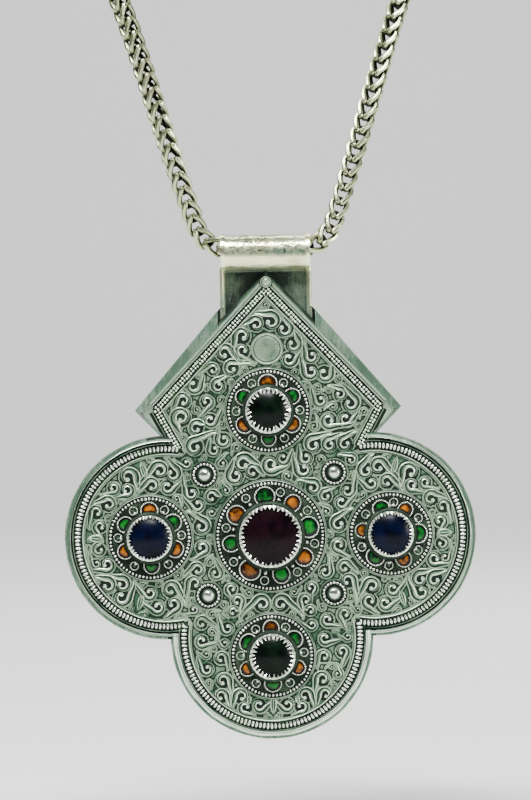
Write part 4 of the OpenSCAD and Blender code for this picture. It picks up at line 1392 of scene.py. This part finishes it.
engraving = bench_mesh()
for stem_x, stem_up, eye_x, eye_up, radius, turn in TUBE_CURLS:
    path = volute_stations(Vector((stem_x, stem_up)), Vector((eye_x, eye_up)), radius, turn)
    for share in (0.0, 0.6):
        line_path = [station((p @ Vector((share, 0, 0))).xy, p.col[0].xy.normalized()) for p in path]
        sweep(engraving, line_path, FINE_LINE)
roll_on_tube(engraving)
place_piece(engraving, "bail_engraving", chased, slot="bail_silver")

# %% [markdown]
# ## The chain
# A loop-in-loop chain is made of soldered wire rings, each squeezed to a long loop, folded in half, and hung
# with its fold through both loops of the one before. All the links point the same way along the chain, so on
# one side of the pendant they look like a V and on the other like a V turned over. The route is the CAD
# model's own.

# %% Chain route
MOUTH_X, MOUTH_R, CHAIN_RISE = 10.6, 8.0, 1.0
LEG = [
    (25.4, -116, -118.5), (31.3, -115.6, -99), (38, -114, -78.5), (46.5, -107.5, -57.5), (54.5, -93.5, -39),
    (60, -75, -24.5), (61.5, -56, -14.5), (57, -36, -7), (45.5, -17.5, -2.8), (29.5, -5.5, -0.8), (14, -0.8, 0),
    (0, 0, 0),
]
BEND_OUT = (-14, -0.8, 0)


def smooth_between(a, b, c, d, t):
    return (2 * b + (c - a) * t + (2 * a - 5 * b + 4 * c - d) * t ** 2 + (3 * b - a - 3 * c + d) * t ** 3) / 2


low_z = CHAIN_RISE - BAIL_DROP
mouth = []
for degrees in range(0, 73, 9):
    a = math.radians(degrees)
    mouth.append(Vector((MOUTH_X + MOUTH_R * math.sin(a), -BAIL_REACH, low_z + MOUTH_R * (1 - math.cos(a)))))
knots = [mouth[-3], mouth[-1], *(Vector(p) for p in LEG), Vector(BEND_OUT)]
route = [Vector((0, -BAIL_REACH, low_z)), *mouth]
for k in range(1, len(knots) - 2):
    route += [smooth_between(*knots[k - 1:k + 3], i / 10) for i in range(1, 11)]
run = [0.0]
for a, b in zip(route, route[1:]):
    run.append(run[-1] + (b - a).length)
print("Half of the chain, mm:", round(run[-1], 1))


def on_route(s):
    p = [float(np.interp(abs(s), run, [q[i] for q in route])) for i in range(3)]
    return Vector((math.copysign(p[0], s) if s else p[0], p[1], p[2]))


# %% One link
PITCH, LINK_H, HALF_LINKS = 4.0, 5.25, 66
LINK_WIRE = 0.7
# A quarter of the ring's line: from the fold at the foot, up its side to the top of a loop
LINK_SIDE = [(0.52, -2.05, 0.02), (0.8, -2.13, 0.6), (1.85, -1.35, 2.4), (2.15, -0.52, 4.2), (1.1, -0.5, 5.2)]
# Distance from the link's middle line at which the dark of patina and painted shade ends, and the width over
# which it clears to a bright outer crown, worn and painted as highlight
DARK_CORE, CORE_FADE = 1.5, 1.25


def rounded(points):
    """Cuts every corner of a closed line of points."""
    cut = []
    for a, b in zip(points, points[1:] + points[:1]):
        cut += [a.lerp(b, 0.25), a.lerp(b, 0.75)]
    return cut


front_loop = LINK_SIDE + [(-x, y, z) for x, y, z in reversed(LINK_SIDE)]
loop = [Vector(p) for p in front_loop] + [Vector((-x, -y, z)) for x, y, z in front_loop]
loop = rounded(rounded(loop))
line = bpy.data.curves.new("link_line", "CURVE")
line.dimensions, line.bevel_depth, line.bevel_resolution = "3D", LINK_WIRE, 2
spline = line.splines.new("POLY")
spline.points.add(len(loop) - 1)
for point, p in zip(spline.points, loop):
    point.co = (*p, 1)
spline.use_cyclic_u = True
link_curve = bpy.data.objects.new("link_line", line)
link = bench_mesh()
link.from_mesh(bpy.data.meshes.new_from_object(link_curve))
bpy.data.objects.remove(link_curve)
layer = link.verts.layers.float["reach"]
for v in link.verts:
    v[layer] = min(1.05, max(-0.1, (v.co.xy.length - DARK_CORE) / CORE_FADE))
print("Link:", len(loop), "stations,", len(link.faces), "faces")


# %% Links along the route
# Turn of the links round the chain by the bail, and its change up to the top of the picture, in radians
TWIST_LEFT, TWIST_RIGHT = (-0.12, 1.0), (0.15, -0.75)
# The middle of the neck, which the links face away from, and heights between which they turn to it
NECK_X, NECK_Y, TURN_LOW, TURN_RISE = 0.85, 58, -100, 60
# Height above which the twist has faded out, how fast it fades, and the height that the picture shows
TWIST_TOP, TWIST_FADE, SEEN_RISE = -55, 22, 68


def link_place(n):
    start = (n + 0.5) * PITCH - LINK_H / 2
    a, b = on_route(start), on_route(start + LINK_H)
    middle, up = (a + b) / 2, (b - a).normalized()
    outward = Vector((middle.x * NECK_X, middle.y + NECK_Y, 0)).normalized()
    share = min(1.0, max(0.0, (middle.z - TURN_LOW) / TURN_RISE))
    raw = share * outward + (1 - share) * Vector((0, -1, 0))
    front = (raw - raw.dot(up) * up).normalized()
    visible = min(1.0, max(0.0, (TWIST_TOP - middle.z) / TWIST_FADE))
    first, change = TWIST_LEFT if middle.x < 0 else TWIST_RIGHT
    twist = first + change * (middle.z + BAIL_DROP) / SEEN_RISE
    front = Matrix.Rotation(twist * visible, 3, up if up.z > 0 else -up) @ front
    foot = middle - up * LINK_H / 2
    return Matrix.Translation(foot) @ Matrix((front.cross(up), front, up)).transposed().to_4x4()


MM_TO_M = Matrix.Diagonal((MM, MM, MM, 1))
# Drawn wire, soldered and rubbed by its neighbours: bright warm crowns, worn and painted as highlight, over
# nearly black gaps of patina and painted shade
chain_silver = worked_silver("silver_wire_links_worn_painted_shade", "#0b0d07", "#4c5137", "#cdd1a8", reach_of_vertices,
                             rough=0.25)
for side, numbers in (("right", range(HALF_LINKS)), ("left", range(-HALF_LINKS, 0))):
    links = bench_mesh()
    set_copies(links, link.copy(), [link_place(n) for n in numbers])
    piece = place_piece(links, "chain_links_" + side, chain_silver, "chain", "chain_silver", MM_TO_M)
    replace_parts(piece, "chain_" + side)

# %% [markdown]
# ## Stage and light
# A plain pale sweep lies under the necklace and rises far behind it, and broad soft lamps light it as in a
# small studio. The wall is far enough away for the back of the pendant to be looked at from this side of it.

# %% Stage
FLOOR_Z, WALL_Y, FRONT_Y, WALL_TOP, HALF_WIDTH = -0.30, 2.9, -5.0, 5.0, 8.0
BEND, BEND_STEPS = 0.9, 8
line_up = [Vector((-HALF_WIDTH, FRONT_Y, FLOOR_Z)), Vector((-HALF_WIDTH, WALL_Y - BEND, FLOOR_Z))]
for i in range(1, BEND_STEPS + 1):
    a = math.radians(90 * i / BEND_STEPS)
    back, up = BEND * (math.sin(a) - 1), BEND * (1 - math.cos(a))
    line_up.append(Vector((-HALF_WIDTH, WALL_Y + back, FLOOR_Z + up)))
line_up.append(Vector((-HALF_WIDTH, WALL_Y, WALL_TOP)))
paper_sweep = bmesh.new()
verts = [paper_sweep.verts.new(p) for p in line_up]
edges = [paper_sweep.edges.new(pair) for pair in zip(verts, verts[1:])]
wide = bmesh.ops.extrude_edge_only(paper_sweep, edges=edges)["geom"]
bmesh.ops.translate(paper_sweep, vec=(2 * HALF_WIDTH, 0, 0),
                    verts=[g for g in wide if isinstance(g, bmesh.types.BMVert)])
backdrop_mesh = bpy.data.meshes.new("backdrop")
paper_sweep.to_mesh(backdrop_mesh)
paper_sweep.free()
backdrop_mesh.polygons.foreach_set("use_smooth", [True] * len(backdrop_mesh.polygons))
# Matt paper: one even pale tone without a gleam
paper, paper_tree = new_material("paper_matt")
finish_material(paper_tree, put(paper_tree, "BsdfPrincipled", {},
                                {"Base Color": colour("#d9dbd8"), "Roughness": 0.95}))
backdrop_mesh.materials.append(paper)
backdrop = bpy.data.objects.new("backdrop", backdrop_mesh)
bpy.context.scene.collection.objects.link(backdrop)


# %% Lamps
def lamp(name, place, width, height, power, target=aim):
    light = bpy.data.lights.new(name, "AREA")
    light.shape, light.size, light.size_y, light.energy = "RECTANGLE", width, height, power
    lit = bpy.data.objects.new(name, light)
    lit.location = place
    lit.rotation_mode = "QUATERNION"
    lit.rotation_quaternion = (target - Vector(place)).to_track_quat("-Z", "Y")
    bpy.context.scene.collection.objects.link(lit)


# Each lamp's place, width and height in metres, and its power in watts
lamp("upper_lamp", (-0.15, -0.42, 0.42), 0.7, 0.16, 16)
lamp("lower_lamp", (0.1, -0.5, -0.85), 0.7, 0.16, 16.5)
lamp("right_lamp", (0.75, -0.5, -0.05), 0.16, 0.36, 5)
lamp("back_lamp", (0.4, 0.7, 0.5), 0.5, 0.3, 9)
lamp("wall_lamp", (0, 0.9, 1.9), 2.4, 1.0, 95, Vector((0, 2.5, 0.1)))

world = bpy.data.worlds.new("studio")
world.use_nodes = True
world.node_tree.nodes["Background"].inputs["Color"].default_value = colour("#d8dcda")
world.node_tree.nodes["Background"].inputs["Strength"].default_value = 0.2
bpy.context.scene.world = world
